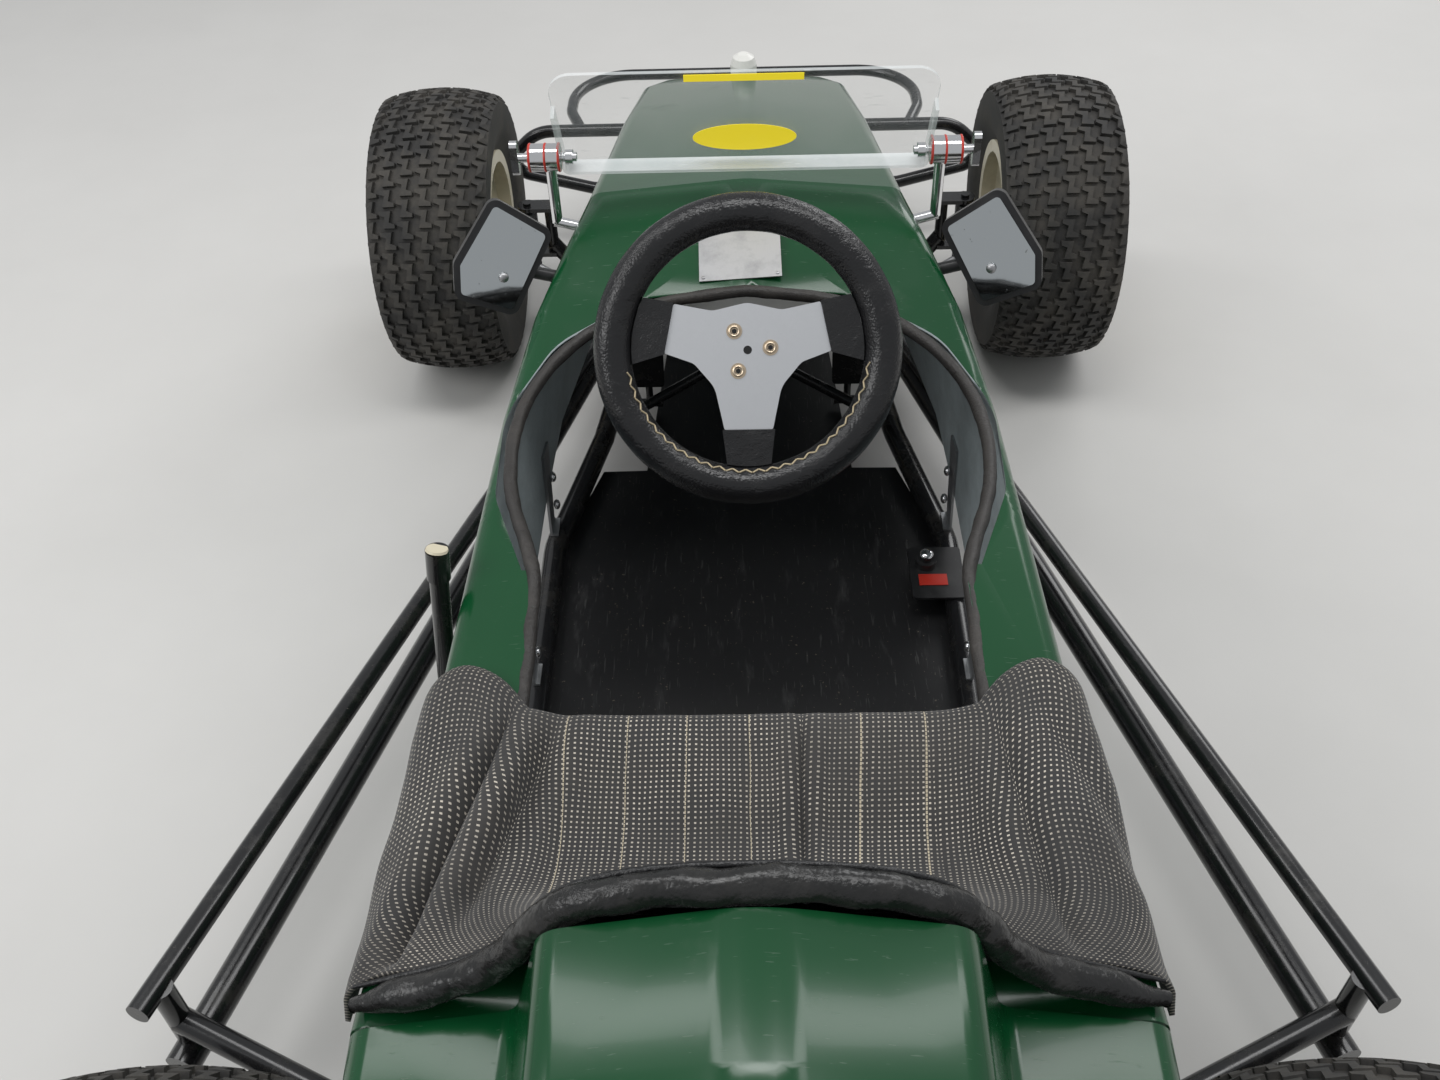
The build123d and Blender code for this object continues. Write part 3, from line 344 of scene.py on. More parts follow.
def concrete():
    """Plain pale floor."""
    f = Finish("pale_floor")
    f.feed("Base Color", f.mix(f.noise(3.0, 8.0), (0.60, 0.59, 0.57), (0.68, 0.67, 0.65)))
    f.feed("Roughness", 0.8 + f.noise(40.0) * 0.1)
    return f.material


# Mesh helpers

def piece(name, bm, material, body, replaces=(), sharp=40.0):
    """Turns a bmesh into a finished piece that rides on a body."""
    mesh = bpy.data.meshes.new(name)
    bm.to_mesh(mesh)
    bm.free()
    mesh.shade_smooth()
    mesh.set_sharp_from_angle(angle=math.radians(sharp))
    made = bpy.data.objects.new(name, mesh)
    bpy.context.scene.collection.objects.link(made)
    mesh.materials.append(finishes[material])
    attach(made, body)
    if replaces:
        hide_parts(*replaces)
    return made


def basis(direction, upright=Vector((0, 0, 1))):
    """Turns local Z to a direction, keeping local Y as near upright as it can be."""
    z = direction.normalized()
    x = upright.cross(z)
    x = x.normalized() if x.length > 1e-6 else Vector((1, 0, 0))
    return Matrix((x, z.cross(x), z)).transposed()


def rod(bm, start, end, radius, end_radius=None, segments=20):
    """Adds a closed round rod between two points."""
    start, end = Vector(start), Vector(end)
    place = Matrix.Translation((start + end) / 2) @ basis(end - start).to_4x4()
    tip = radius if end_radius is None else end_radius
    bmesh.ops.create_cone(
        bm, cap_ends=True, segments=segments, radius1=radius, radius2=tip,
        depth=(end - start).length, matrix=place,
    )


def dome(bm, centre, normal, radius, height):
    """Adds a flattened ball, half of it under the surface that it stands on."""
    place = Matrix.Translation(centre) @ basis(normal).to_4x4()
    bmesh.ops.create_uvsphere(
        bm, u_segments=16, v_segments=8, radius=1.0,
        matrix=place @ Matrix.Diagonal((radius, radius, height, 1)),
    )


def ring(bm, centre, normal, radius, thickness, steps=48, segments=12):
    """Adds a round ring about an axis."""
    turn = basis(normal)
    made = bmesh.ops.create_circle(bm, segments=segments, radius=thickness)["verts"]
    upright = Matrix.Translation((radius, 0, 0)) @ Matrix.Rotation(math.pi / 2, 4, "X")
    bmesh.ops.transform(bm, verts=made, matrix=Matrix.Translation(centre) @ turn.to_4x4() @ upright)
    edges = list({e for v in made for e in v.link_edges})
    bmesh.ops.spin(
        bm, geom=made + edges, cent=centre, axis=turn.col[2], angle=2 * math.pi,
        steps=steps, use_merge=True,
    )


def closed(bm):
    """Merges doubles and turns all faces outwards."""
    bmesh.ops.remove_doubles(bm, verts=bm.verts, dist=1e-5)
    bmesh.ops.recalc_face_normals(bm, faces=bm.faces)


def along_path(
    name, points, radius, material, body, replaces=(), taper=1.0, wrinkle=0.0,
):
    """A round bead along smooth points, as a mesh. It thins to taper at both ends."""
    curve = bpy.data.curves.new(name, "CURVE")
    curve.dimensions = "3D"
    curve.bevel_depth = radius
    curve.bevel_resolution = 5
    curve.use_fill_caps = True
    spline = curve.splines.new("NURBS")
    spline.points.add(len(points) - 1)
    for point, place in zip(spline.points, points):
        point.co = (*place, 1.0)
    spline.points[0].radius = taper
    spline.points[-1].radius = taper
    spline.order_u = 3
    spline.use_endpoint_u = True
    spline.resolution_u = 16 if wrinkle else 4
    carrier = bpy.data.objects.new(name + "_path", curve)
    mesh = bpy.data.meshes.new_from_object(carrier)
    bpy.data.objects.remove(carrier)
    bm = bmesh.new()
    bm.from_mesh(mesh)
    bpy.data.meshes.remove(mesh)
    if wrinkle:
        bm.normal_update()
        for vert in bm.verts:
            coarse = noise.noise(Vector((vert.co.x * 38, vert.co.y * 60, vert.co.z * 60)))
            fine = 1 - abs(noise.noise(vert.co * 120))
            vert.co += vert.normal * wrinkle * (coarse + 0.5 * fine - 0.5)
    return piece(name, bm, material, body, replaces, 60.0)


def moulding(name, material, lining):
    """A copy of a shell with its edges run smooth and its hidden side left bare."""
    bm = bmesh.new()
    bm.from_mesh(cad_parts[name].data)
    closed(bm)
    for face in bm.faces:
        normal, centre = face.normal, face.calc_center_median()
        inward = normal.x * centre.x < 0 and abs(normal.x) > 0.3
        face.material_index = int(inward or normal.z < -0.35)
    made = piece(f"{name}_moulding", bm, material, "chassis", (name,), 44.0)
    made.data.materials.append(finishes[lining])
    shading = made.modifiers.new("large faces lead the shading", "WEIGHTED_NORMAL")
    shading.mode = "FACE_AREA"
    shading.keep_sharp = True
    return made


def rounded(points, rounds=3):
    """Cuts the corners of an open run of points, again and again."""
    for _ in range(rounds):
        cut = [points[0]]
        for a, b in zip(points, points[1:]):
            cut += [a.lerp(b, 0.25), a.lerp(b, 0.75)]
        points = cut + [points[-1]]
    return points


def along(points, share):
    """The point at a share of the length of a run of points."""
    lengths = [(b - a).length for a, b in zip(points, points[1:])]
    left = share * sum(lengths)
    for a, b, length in zip(points, points[1:], lengths):
        if left <= length:
            return a.lerp(b, left / length)
        left -= length
    return points[-1]


def run_length(points):
    """The length of a run of points."""
    return sum((b - a).length for a, b in zip(points, points[1:]))


def surface_of(*nodes):
    """A search tree over CAD nodes, for setting pieces on them."""
    bm = bmesh.new()
    for node in nodes:
        bm.from_mesh(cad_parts[node].data)
    tree = BVHTree.FromBMesh(bm)
    bm.free()
    return tree


def dropped(tree, x, y, top=0.9):
    """The highest point of a surface at x and y, with its normal."""
    place, normal, _, _ = tree.ray_cast(Vector((x, y, top)), Vector((0, 0, -1)))
    if place is None:
        raise RuntimeError(f"nothing to stand on at {x:.3f}, {y:.3f}")
    return place, (normal if normal.z > 0 else -normal)


def dress(names, material):
    """Gives CAD nodes a finish."""
    for name in names.split():
        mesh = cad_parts[name].data
        mesh.materials.clear()
        mesh.materials.append(finishes[material])


# User settings

class KartLooks(bpy.types.PropertyGroup):
    """What a user may change."""

    paint: bpy.props.FloatVectorProperty(
        name="Body colour", description="Colour of the mouldings", subtype="COLOR",
        size=3, min=0.0, max=1.0, default=(0.003, 0.062, 0.018),
    )
    block_height: bpy.props.FloatProperty(
        name="Tread height", description="Height of the tread blocks", unit="LENGTH",
        default=0.0055, min=0.001, max=0.01,
    )
    stitch_pitch: bpy.props.FloatProperty(
        name="Stitch pitch", description="Distance between stitches on the grip", unit="LENGTH",
        default=0.0065, min=0.003, max=0.02,
    )
    cushion_swell: bpy.props.FloatProperty(
        name="Cushion swell", description="How far the seat swells between seams", unit="LENGTH",
        default=0.007, min=0.0, max=0.02,
    )


# Tyres and rims

TREAD_SAG = 0.011
SHOULDER_INSET, SHOULDER_BEND = 0.0085, 0.012


def tread_point(half, distance, height):
    """x and radius on the tread at a distance from its middle, raised by height."""
    shoulder = half - SHOULDER_INSET
    crown = (shoulder * shoulder + TREAD_SAG * TREAD_SAG) / (2 * TREAD_SAG)
    turn = math.asin(shoulder / crown)
    sign = -1 if distance < 0 else 1
    angle = abs(distance) / crown
    if angle <= turn:
        x, r = crown * math.sin(angle), TYRE_R - crown * (1 - math.cos(angle))
    else:
        angle = turn + (abs(distance) - crown * turn) / SHOULDER_BEND
        x = shoulder + SHOULDER_BEND * (math.sin(angle) - math.sin(turn))
        r = TYRE_R - TREAD_SAG - SHOULDER_BEND * (math.cos(turn) - math.cos(angle))
    return sign * (x + height * math.sin(angle)), r + height * math.cos(angle)


TREAD_ROWS = 44
BLOCK_PITCH = 0.0255
BLOCK_ROOT = 0.0008
BLOCK_TAPER = 0.93
TREAD_BLOCK = [
    (-0.0118, 0.0126), (0.0062, 0.0126), (0.0030, -0.0038), (0.0118, -0.0072),
    (0.0118, -0.0126), (-0.0062, -0.0126), (-0.0030, 0.0038), (-0.0118, 0.0072),
]


def tyre_carcass(bm, side, centre_x, axle_y, width, depth):
    """A carcass under the tread, spun about the axle."""
    half = width / 2
    steps = 14
    last = 0.93 * (half + 0.006)
    outer = [tread_point(half, last * (i / steps - 1), -depth) for i in range(2 * steps + 1)]
    flank = [
        (half - 0.0004, 0.182), (half, 0.168), (half, 0.15), (half - 0.004, 0.132),
        (half - 0.0135, 0.1155),
    ]
    bead = [(half - 0.0135, 0.1022), (half - 0.024, 0.1022), (half - 0.0235, 0.116)]
    lining = [(half - 0.012, 0.15), (half - 0.014, 0.178), (half - 0.03, 0.187), (0, 0.190)]
    right = flank + bead + lining
    profile = outer + right + [(-x, r) for x, r in reversed(right[:-1])]
    made = [bm.verts.new((side * centre_x + x, axle_y, AXLE_Z + r)) for x, r in profile]
    edges = [bm.edges.new((a, b)) for a, b in zip(made, made[1:] + made[:1])]
    bmesh.ops.spin(
        bm, geom=made + edges, cent=(0, axle_y, AXLE_Z), axis=(1, 0, 0),
        angle=2 * math.pi, steps=120, use_merge=True,
    )
    closed(bm)


def tyre_blocks(side, centre_x, axle_y, width, depth, rng):
    """Interlocking Z blocks in staggered columns round the tyre."""
    half = width / 2
    columns = round((width + 0.012) / BLOCK_PITCH)
    bm = bmesh.new()
    for column in range(columns):
        middle = (column - (columns - 1) / 2) * BLOCK_PITCH
        for row in range(TREAD_ROWS):
            turn = 2 * math.pi * (row + 0.5 * (column % 2)) / TREAD_ROWS
            root = -depth - BLOCK_ROOT
            face = bm.faces.new([bm.verts.new((x, y, root)) for x, y in TREAD_BLOCK])
            made = bmesh.ops.extrude_face_region(bm, geom=[face])["geom"]
            top = [v for v in made if isinstance(v, bmesh.types.BMVert)]
            worn = rng.uniform(-0.0003, 0.0)
            for vert in top:
                vert.co = Vector((vert.co.x * BLOCK_TAPER, vert.co.y * BLOCK_TAPER, worn))
            walls = {wall for vert in top for wall in vert.link_faces}
            for vert in {corner for wall in (face, *walls) for corner in wall.verts}:
                x, r = tread_point(half, middle + vert.co.x, vert.co.z)
                angle = turn + vert.co.y / TYRE_R
                vert.co = Vector((
                    side * centre_x + x, axle_y + r * math.sin(angle), AXLE_Z + r * math.cos(angle),
                ))
    bmesh.ops.recalc_face_normals(bm, faces=bm.faces)
    return bm


class KART_OT_tyres(bpy.types.Operator):
    """Builds the four tyres with turf tread"""

    bl_idname = "kart.tyres"
    bl_label = "Tyres with tread"

    def execute(self, context):
        depth = context.scene.kart_looks.block_height
        rng = random.Random(4)
        for name, side, centre_x, axle_y, width, body in TYRES:
            bm = bmesh.new()
            tyre_carcass(bm, side, centre_x, axle_y, width, depth)
            piece(f"{name}_carcass", bm, "rubber", body, (f"{name}_tyre",))
            bm = tyre_blocks(side, centre_x, axle_y, width, depth, rng)
            piece(f"{name}_tread", bm, "rubber", body, (), 30.0)
        return {"FINISHED"}


class KART_OT_rims(bpy.types.Operator):
    """Paints the rims and adds their bolts, valves and hub nuts"""

    bl_idname = "kart.rims"
    bl_label = "Rims and hub fittings"

    def execute(self, context):
        dress("left_front_rim right_front_rim left_rear_rim right_rear_rim", "cream")
        bolt_circle = 0.040
        for name, side, centre_x, axle_y, _, body in TYRES:
            bm = bmesh.new()
            for step in range(4):
                turn = math.pi / 4 + step * math.pi / 2
                y = axle_y + bolt_circle * math.cos(turn)
                z = AXLE_Z + bolt_circle * math.sin(turn)
                start = side * (centre_x + 0.0205)
                rod(bm, (start, y, z), (start + side * 0.006, y, z), 0.0075, segments=6)
                rod(bm, (start, y, z), (start + side * 0.012, y, z), 0.004, segments=12)
            start = side * (centre_x + 0.020)
            end = start + side * 0.024
            rod(bm, (start, axle_y + 0.068, AXLE_Z), (end, axle_y + 0.072, AXLE_Z), 0.004)
            piece(f"{name}_rim_fittings", bm, "steel", body)
        return {"FINISHED"}


# Steering

def on_wheel(right, up, towards=0.0):
    """A point on the steering wheel as the driver faces it."""
    return WHEEL_CENTRE + ACROSS * right + COLUMN_UP * up - COLUMN_DOWN * towards


class KART_OT_steering_wheel(bpy.types.Operator):
    """Builds the leather grip with its stitching, and the screws in the spokes"""

    bl_idname = "kart.steering_wheel"
    bl_label = "Steering wheel"

    def execute(self, context):
        bm = bmesh.new()
        ring(bm, WHEEL_CENTRE, -COLUMN_DOWN, GRIP_RING_R, GRIP_R, 144, 28)
        closed(bm)
        rng = random.Random(7)
        for vert in bm.verts:
            away = vert.co - WHEEL_CENTRE
            flat = away - COLUMN_DOWN * away.dot(COLUMN_DOWN)
            core = WHEEL_CENTRE + flat.normalized() * GRIP_RING_R
            angle = math.atan2(flat.dot(COLUMN_UP), flat.dot(ACROSS))
            wave = 0.5 * math.sin(23 * angle + 40 * away.length) + 0.5 * math.sin(9 * angle)
            vert.co = core + (vert.co - core) * (1 + 0.012 * wave + rng.uniform(-0.003, 0.003))
        piece(
            "leather_grip", bm, "wheel_leather", "steering", ("steering_rim",),
            180.0,
        )

        bm = bmesh.new()
        seam_run_r, thread_r = 0.118, GRIP_R + 0.0003
        count = round(2 * math.pi * seam_run_r / context.scene.kart_looks.stitch_pitch)
        slope = math.radians(38)
        for step in range(count):
            # The seam shows along the grip's lower half and runs behind it above
            if math.sin(2 * math.pi * step / count) > -0.12:
                continue
            ends = []
            for lean in (-0.5, 0.5):
                angle = 2 * math.pi * (step + (0.5 + lean) * 0.9) / count
                swing = slope + lean * 0.22 * (1 if step % 2 else -1)
                r = GRIP_RING_R - thread_r * math.cos(swing)
                towards = thread_r * math.sin(swing)
                ends.append(on_wheel(r * math.cos(angle), r * math.sin(angle), towards))
            rod(bm, ends[0], ends[1], 0.00085, segments=6)
        piece("grip_stitching", bm, "thread", "steering")

        dress("steering_spokes", "spoke_plate")
        dress("spoke_covers", "cover_leather")
        dress("steering_column left_tie_rod right_tie_rod left_knuckle right_knuckle", "steel")
        screw_circle = 0.0225
        turns = [math.radians(angle) for angle in (5, 125, 245)]
        screws = [(screw_circle * math.cos(turn), screw_circle * math.sin(turn)) for turn in turns]
        bm = bmesh.new()
        for x, y in screws:
            rod(bm, on_wheel(x, y, 0.0015), on_wheel(x, y, 0.0028), 0.0078, segments=28)
            ring(bm, on_wheel(x, y, 0.0032), -COLUMN_DOWN, 0.0046, 0.0013, 24, 8)
        piece("spoke_screws", bm, "brass", "steering")
        # Near-black plugs in the screws and at the middle: painted shade standing for their holes
        bm = bmesh.new()
        for x, y in screws:
            rod(bm, on_wheel(x, y, 0.002), on_wheel(x, y, 0.0036), 0.0026, segments=6)
        rod(bm, on_wheel(0, 0, 0.0012), on_wheel(0, 0, 0.0023), 0.0042)
        piece("spoke_hole_shade", bm, "dark", "steering")
        return {"FINISHED"}


# Bodywork

# Half of the cockpit's edge as x and y, from the front
OPENING = [
    (0.112, 0.099), (0.192, 0.048), (0.236, -0.040), (0.232, -0.150), (0.195, -0.250),
    (0.196, -0.310), (0.193, -0.360), (0.190, -0.408),
]


class KART_OT_bodywork(bpy.types.Operator):
    """Paints the mouldings and adds the edge piping, plate and rivets"""

    bl_idname = "kart.bodywork"
    bl_label = "Bodywork"

    def execute(self, context):
        moulding("body_shell", "green", "glassfibre")
        moulding("engine_cover", "green", "glassfibre")
        dress("nose_knob", "white")
        body = surface_of("body_shell")
        rim_top = surface_of("body_shell", "cockpit_trim")
        outline = [Vector((x + 0.005, y + 0.002, 0)) for x, y in OPENING]
        right = rounded([Vector((0, OPENING[0][1] + 0.007, 0))] + outline)
        run = [Vector((-p.x, p.y, 0)) for p in reversed(right[1:])] + right
        padding = []
        for point in run:
            above = Vector((point.x, point.y, 0.47 + 0.2 * max(0.0, point.y)))
            edge = rim_top.find_nearest(above)[0]
            padding.append(Vector((edge.x, edge.y, edge.z - 0.006)))
        along_path(
            "cockpit_piping", padding[::2], 0.0068, "trim_leather", "chassis",
            ("cockpit_trim",), 0.6, 0.0008,
        )
        plate_size = (0.089, 0.070, 0.0014)
        middle, facing = dropped(body, -0.007, 0.156)
        turn = basis(facing, Vector((0, 1, 0))).to_4x4()
        place = Matrix.Translation(middle + facing * 0.0008) @ turn
        bm = bmesh.new()
        bmesh.ops.create_cube(bm, size=1.0, matrix=place @ Matrix.Diagonal((*plate_size, 1)))
        piece("dash_plate", bm, "plate_metal", "chassis")
        bm = bmesh.new()
        for x in (-0.040, 0.040):
            for y in (-0.0305, 0.0305):
                dome(bm, place @ Vector((x, y, 0.0008)), facing, 0.0021, 0.001)
        piece("dash_rivets", bm, "steel", "chassis")
        return {"FINISHED"}


class KART_OT_screen(bpy.types.Operator):
    """Finishes the windscreen, its clamps and the mirrors"""

    bl_idname = "kart.screen"
    bl_label = "Windscreen, clamps and mirrors"

    def execute(self, context):
        dress("windscreen", "acrylic")
        dress("screen_clamps", "chrome")
        dress("left_mirror right_mirror", "black_plastic")
        dress("mirror_glasses", "mirror")
        lean = math.radians(17)
        up = Vector((0, -math.sin(lean), math.cos(lean)))
        toward = Vector((0, -math.cos(lean), -math.sin(lean)))
        foot = Vector((0, 0.253, 0.548))
        place = Matrix.Translation(foot + toward * 0.0046) @ basis(toward, up).to_4x4()
        oval = Matrix.Translation((0, 0.034, 0)) @ Matrix.Diagonal((0.056, 0.019, 1, 1))
        bm = bmesh.new()
        bmesh.ops.create_circle(bm, cap_ends=True, segments=64, radius=1.0, matrix=place @ oval)
        bmesh.ops.solidify(bm, geom=bm.faces[:], thickness=-0.0004)
        piece("screen_sticker", bm, "yellow", "chassis")
        strip = Matrix.Translation((0, 0.1185, 0)) @ Matrix.Diagonal((0.124, 0.009, 0.0006, 1))
        bm = bmesh.new()
        bmesh.ops.create_cube(bm, size=1.0, matrix=place @ strip)
        piece("screen_strip", bm, "yellow", "chassis")
        bm = bmesh.new()
        clamp = foot + up * 0.017 + toward * 0.0123
        for side in (-1, 1):
            for x in (0.2022, 0.2170, 0.2340):
                ring(bm, clamp + ACROSS * side * x, ACROSS, 0.0142, 0.0016, 36, 8)
        piece("clamp_rings", bm, "red", "chassis")
        bm = bmesh.new()
        for side in (-1, 1):
            middle = Vector((side * 0.268, 0.157, 0.462))
            behind = Vector((side * 0.25, 0.90, -0.36)).normalized()
            dome(bm, middle - behind * 0.0085, -behind, 0.0055, 0.003)
        piece("mirror_rivets", bm, "steel", "chassis")
        return {"FINISHED"}


# Cockpit

# The seat cloth's middle line as y and z: cushion and backrest, then the panel over its top
CUSHION_PATH = [
    Vector(place) for place in (
        (-0.184, 0.090), (-0.184, 0.113), (-0.205, 0.121), (-0.300, 0.117),
        (-0.372, 0.122), (-0.392, 0.200), (-0.408, 0.330), (-0.414, 0.398),
    )
]
PANEL_FRONT = -0.409
PANEL_PATH = [
    Vector(place) for place in (
        (PANEL_FRONT, 0.384), (PANEL_FRONT, 0.402), (-0.426, 0.411), (-0.480, 0.398),
        (-0.540, 0.384), (-0.600, 0.424), (-0.650, 0.520),
    )
]
CREASES = [
    # start x, end x, end y, width, depth: each starts at the panel's front edge
    (-0.198, -0.264, -0.640, 0.009, 0.015),
    (-0.158, -0.214, -0.600, 0.011, 0.009),
    (0.196, 0.226, -0.640, 0.010, 0.007),
    (0.238, 0.292, -0.560, 0.012, 0.004),
    (0.041, 0.036, -0.620, 0.005, 0.007),
]


def limited(value):
    """Keeps a number between 0 and 1."""
    return min(1.0, max(0.0, value))


def heading(points, share):
    """The way that a run of points goes at a share of its length."""
    step = 0.02
    return (along(points, min(1, share + step)) - along(points, max(0, share - step))).normalized()


def folded(x, y):
    """How far the cloth stands out at a place on the panel."""
    height, last_share = 0.0, 1.15
    for start_x, end_x, end_y, width, depth in CREASES:
        share = (y - PANEL_FRONT) / (end_y - PANEL_FRONT)
        if share > last_share:
            continue
        off = x - (start_x + (end_x - start_x) * max(0.0, share))
        fade = min(1.0, 0.45 + 2 * share) * min(1.0, 4 * (last_share - share))
        height -= depth * fade * math.exp(-((off / width) ** 2))
        height += 0.45 * depth * fade * math.exp(-(((abs(off) - 2.1 * width) / (1.6 * width)) ** 2))
    for seam in SEAMS:
        height -= 0.0012 * math.exp(-(((x - seam) / 0.0035) ** 2))
    height += 0.0030 * noise.noise(Vector((x * 16, y * 12, 0)))
    return height + 0.0012 * noise.noise(Vector((x * 60, y * 26, 4)))


def gridded(name, columns, rows, where, material, body, replaces, thickness):
    """A cloth surface whose points are placed by a function of two shares."""
    bm = bmesh.new()
    uv = bm.loops.layers.uv.new("cloth")
    bmesh.ops.create_grid(bm, x_segments=columns, y_segments=rows, size=0.5)
    placed = {v: where(v.co.x + 0.5, v.co.y + 0.5) for v in bm.verts}
    for vert, (place, _, _) in placed.items():
        vert.co = place
    for face in bm.faces:
        for loop in face.loops:
            loop[uv].uv = placed[loop.vert][1:]
    made = piece(name, bm, material, body, replaces, 180.0)
    wall = made.modifiers.new("cloth thickness", "SOLIDIFY")
    wall.thickness = thickness
    wall.offset = -1.0
    return made


class KART_OT_seat(bpy.types.Operator):
    """Builds the seat cover with its stitched channels, the shoulder flaps and the padded roll"""

    bl_idname = "kart.seat"
    bl_label = "Seat cover and roll"

    def execute(self, context):
        swell = context.scene.kart_looks.cushion_swell
        rise = rounded(CUSHION_PATH)
        rise_length = run_length(rise)

        def cushion_at(u, v):
            spot, step = along(rise, v), heading(rise, v)
            half = 0.216 - 0.018 * max(0.0, (spot.y - 0.33) / 0.07)
            x = (2 * u - 1) * half
            edges = [-half - 0.001] + SEAMS + [half + 0.001]
            for low, high in zip(edges, edges[1:]):
                if low <= x <= high:
                    puff = swell * (4 * (x - low) * (high - x) / (high - low) ** 2) ** 0.55
            crease = 0.004 * noise.noise(Vector((x * 14, v * 9, 2)))
            lift = (puff + crease) * min(1.0, v * 10, (1 - v) * 10) - 0.004
            return Vector((x, spot.x - step.y * -lift, spot.y - step.x * lift)), x, v * rise_length

        cushion = gridded(
            "seat_cushion_cloth", 140, 150, cushion_at, "cloth", "chassis",
            ("seat_cover",), 0.005,
        )

        top = rounded(PANEL_PATH)
        top_length = run_length(top)
        rise_start = 0.425
        sections = {}

        def panel_section(v):
            """Half of the cloth's section from the middle over the lip to the hem."""
            if v not in sections:
                spot = along(top, v)
                back = limited((-0.401 - spot.x) / 0.278)
                hump = limited((spot.y - rise_start) / 0.09)
                shoulder = Vector((0.270, 0.409)).lerp(Vector((0.291, 0.396)), back)
                waist = Vector((0.281, 0.310)).lerp(Vector((0.306, 0.310)), back)
                lip_z = shoulder.y + (0.424 - shoulder.y) * (1 - 0.2 / shoulder.x) + 0.008
                hem_x = waist.x + (shoulder.x - waist.x) * 0.035 / (shoulder.y - waist.y)
                flank = spot.y + (lip_z - spot.y) * (0.35 + 0.5 * hump)
                sections[v] = rounded([
                    Vector((0, spot.y)), Vector((0.150 - 0.022 * hump, spot.y)),
                    Vector((0.180 - 0.014 * hump, flank + 0.020 * hump)),
                    Vector((0.205, lip_z + 0.022 * hump)),
                    Vector((shoulder.x + 0.0065, shoulder.y + 0.009)),
                    Vector((hem_x + 0.0085, 0.346)),
                ])
            return sections[v]

        def panel_at(u, v):
            side = -1 if u < 0.5 else 1
            section = panel_section(v)
            across = abs(2 * u - 1)
            spot, step = along(section, across), heading(section, across)
            y = along(top, v).x
            if spot.x > 0.19:
                y += 0.042 * math.sin(math.pi * min(1.0, (spot.x - 0.19) / 0.11)) * (1 - v) ** 2
            held = min(1.0, 6 * v, 12 * (1 - v)) * min(1.0, 8 * (1 - across))
            lift = folded(side * spot.x, y) * held
            reach = across * run_length(section)
            gather = 0.020 * v * limited((side * spot.x - 0.03) / 0.02)
            place = Vector((side * (spot.x - step.y * lift), y, spot.y + step.x * lift))
            return place, side * reach + gather, v * top_length

        panel = gridded(
            "seat_panel_cloth", 300, 130, panel_at, "cloth", "chassis",
            ("seat_flaps",), 0.004,
        )
        for side, name in ((-1, "left"), (1, "right")):
            shares = (0.66, 0.72, 0.78, 0.84, 0.9, 0.95, 1.0)
            hem = [panel_at(0.5 + side * share / 2, 0.0)[0] for share in shares]
            along_path(f"{name}_cloth_binding", hem, 0.0026, "trim_leather", "chassis")

        roll_y, roll_r = -0.666, 0.0125
        roll = [Vector((x, roll_y, z)) for x, z in (
            (0.290, 0.403), (0.262, 0.415), (0.225, 0.431), (0.192, 0.449), (0.168, 0.474),
            (0.152, 0.502), (0.132, 0.530), (0.100, 0.549), (0.055, 0.559), (0.0, 0.562),
        )]
        points = [Vector((-p.x, p.y, p.z)) for p in roll[:-1]] + roll[::-1]
        pad = along_path(
            "padded_roll", points, roll_r, "roll_leather", "chassis", ("head_roll",),
            0.45, 0.0026,
        )
        welt = [p + Vector((0, roll_r, 0.004)) for p in points]
        along_path("roll_welt", welt, 0.0026, "cover_leather", "chassis", taper=0.6)
        return {"FINISHED"}


class KART_OT_chassis(bpy.types.Operator):
    """Finishes the tubes, floor, controls and brackets, with their bolts and label"""

    bl_idname = "kart.chassis"
    bl_label = "Chassis and controls"

    def execute(self, context):
        dress("chassis_frame front_bumper rear_bumper left_side_bars right_side_bars", "enamel")
        dress("left_front_arms right_front_arms steering_support hand_lever pedals", "enamel")
        dress("floor_pan", "floor")
        dress("body_brackets engine_block", "dull_metal")
        dress("rear_axle axle_sprocket brake_disc", "steel")
        dress("stop_switch", "black_plastic")
        button_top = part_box("stop_switch")[1][2]
        bm = bmesh.new()
        dome(bm, (0.212, 0.045, button_top - 0.001), Vector((0, 0, 1)), 0.0085, 0.004)
        piece("stop_button", bm, "chrome", "chassis")
        bm = bmesh.new()
        for side in (-1, 1):
            for y in (0.120, -0.120, -0.500):
                for z in (0.150, 0.196):
                    dome(bm, (side * 0.2390, y, z), Vector((-side, 0, 0.1)), 0.0065, 0.004)
        piece("bracket_bolts", bm, "chrome", "chassis")
        place = Matrix.Translation((0.2185, 0.018, 0.1129))
        size = Matrix.Diagonal((0.034, 0.018, 0.0006, 1))
        bm = bmesh.new()
        bmesh.ops.create_cube(bm, size=1.0, matrix=place @ size)
        piece("stop_label", bm, "red", "chassis")
        bm = bmesh.new()
        rod(bm, (-0.2821, -0.2542, 0.4495), (-0.2818, -0.2535, 0.4515), 0.0108, 0.0098)
        piece("lever_cap", bm, "cream", "chassis")
        return {"FINISHED"}


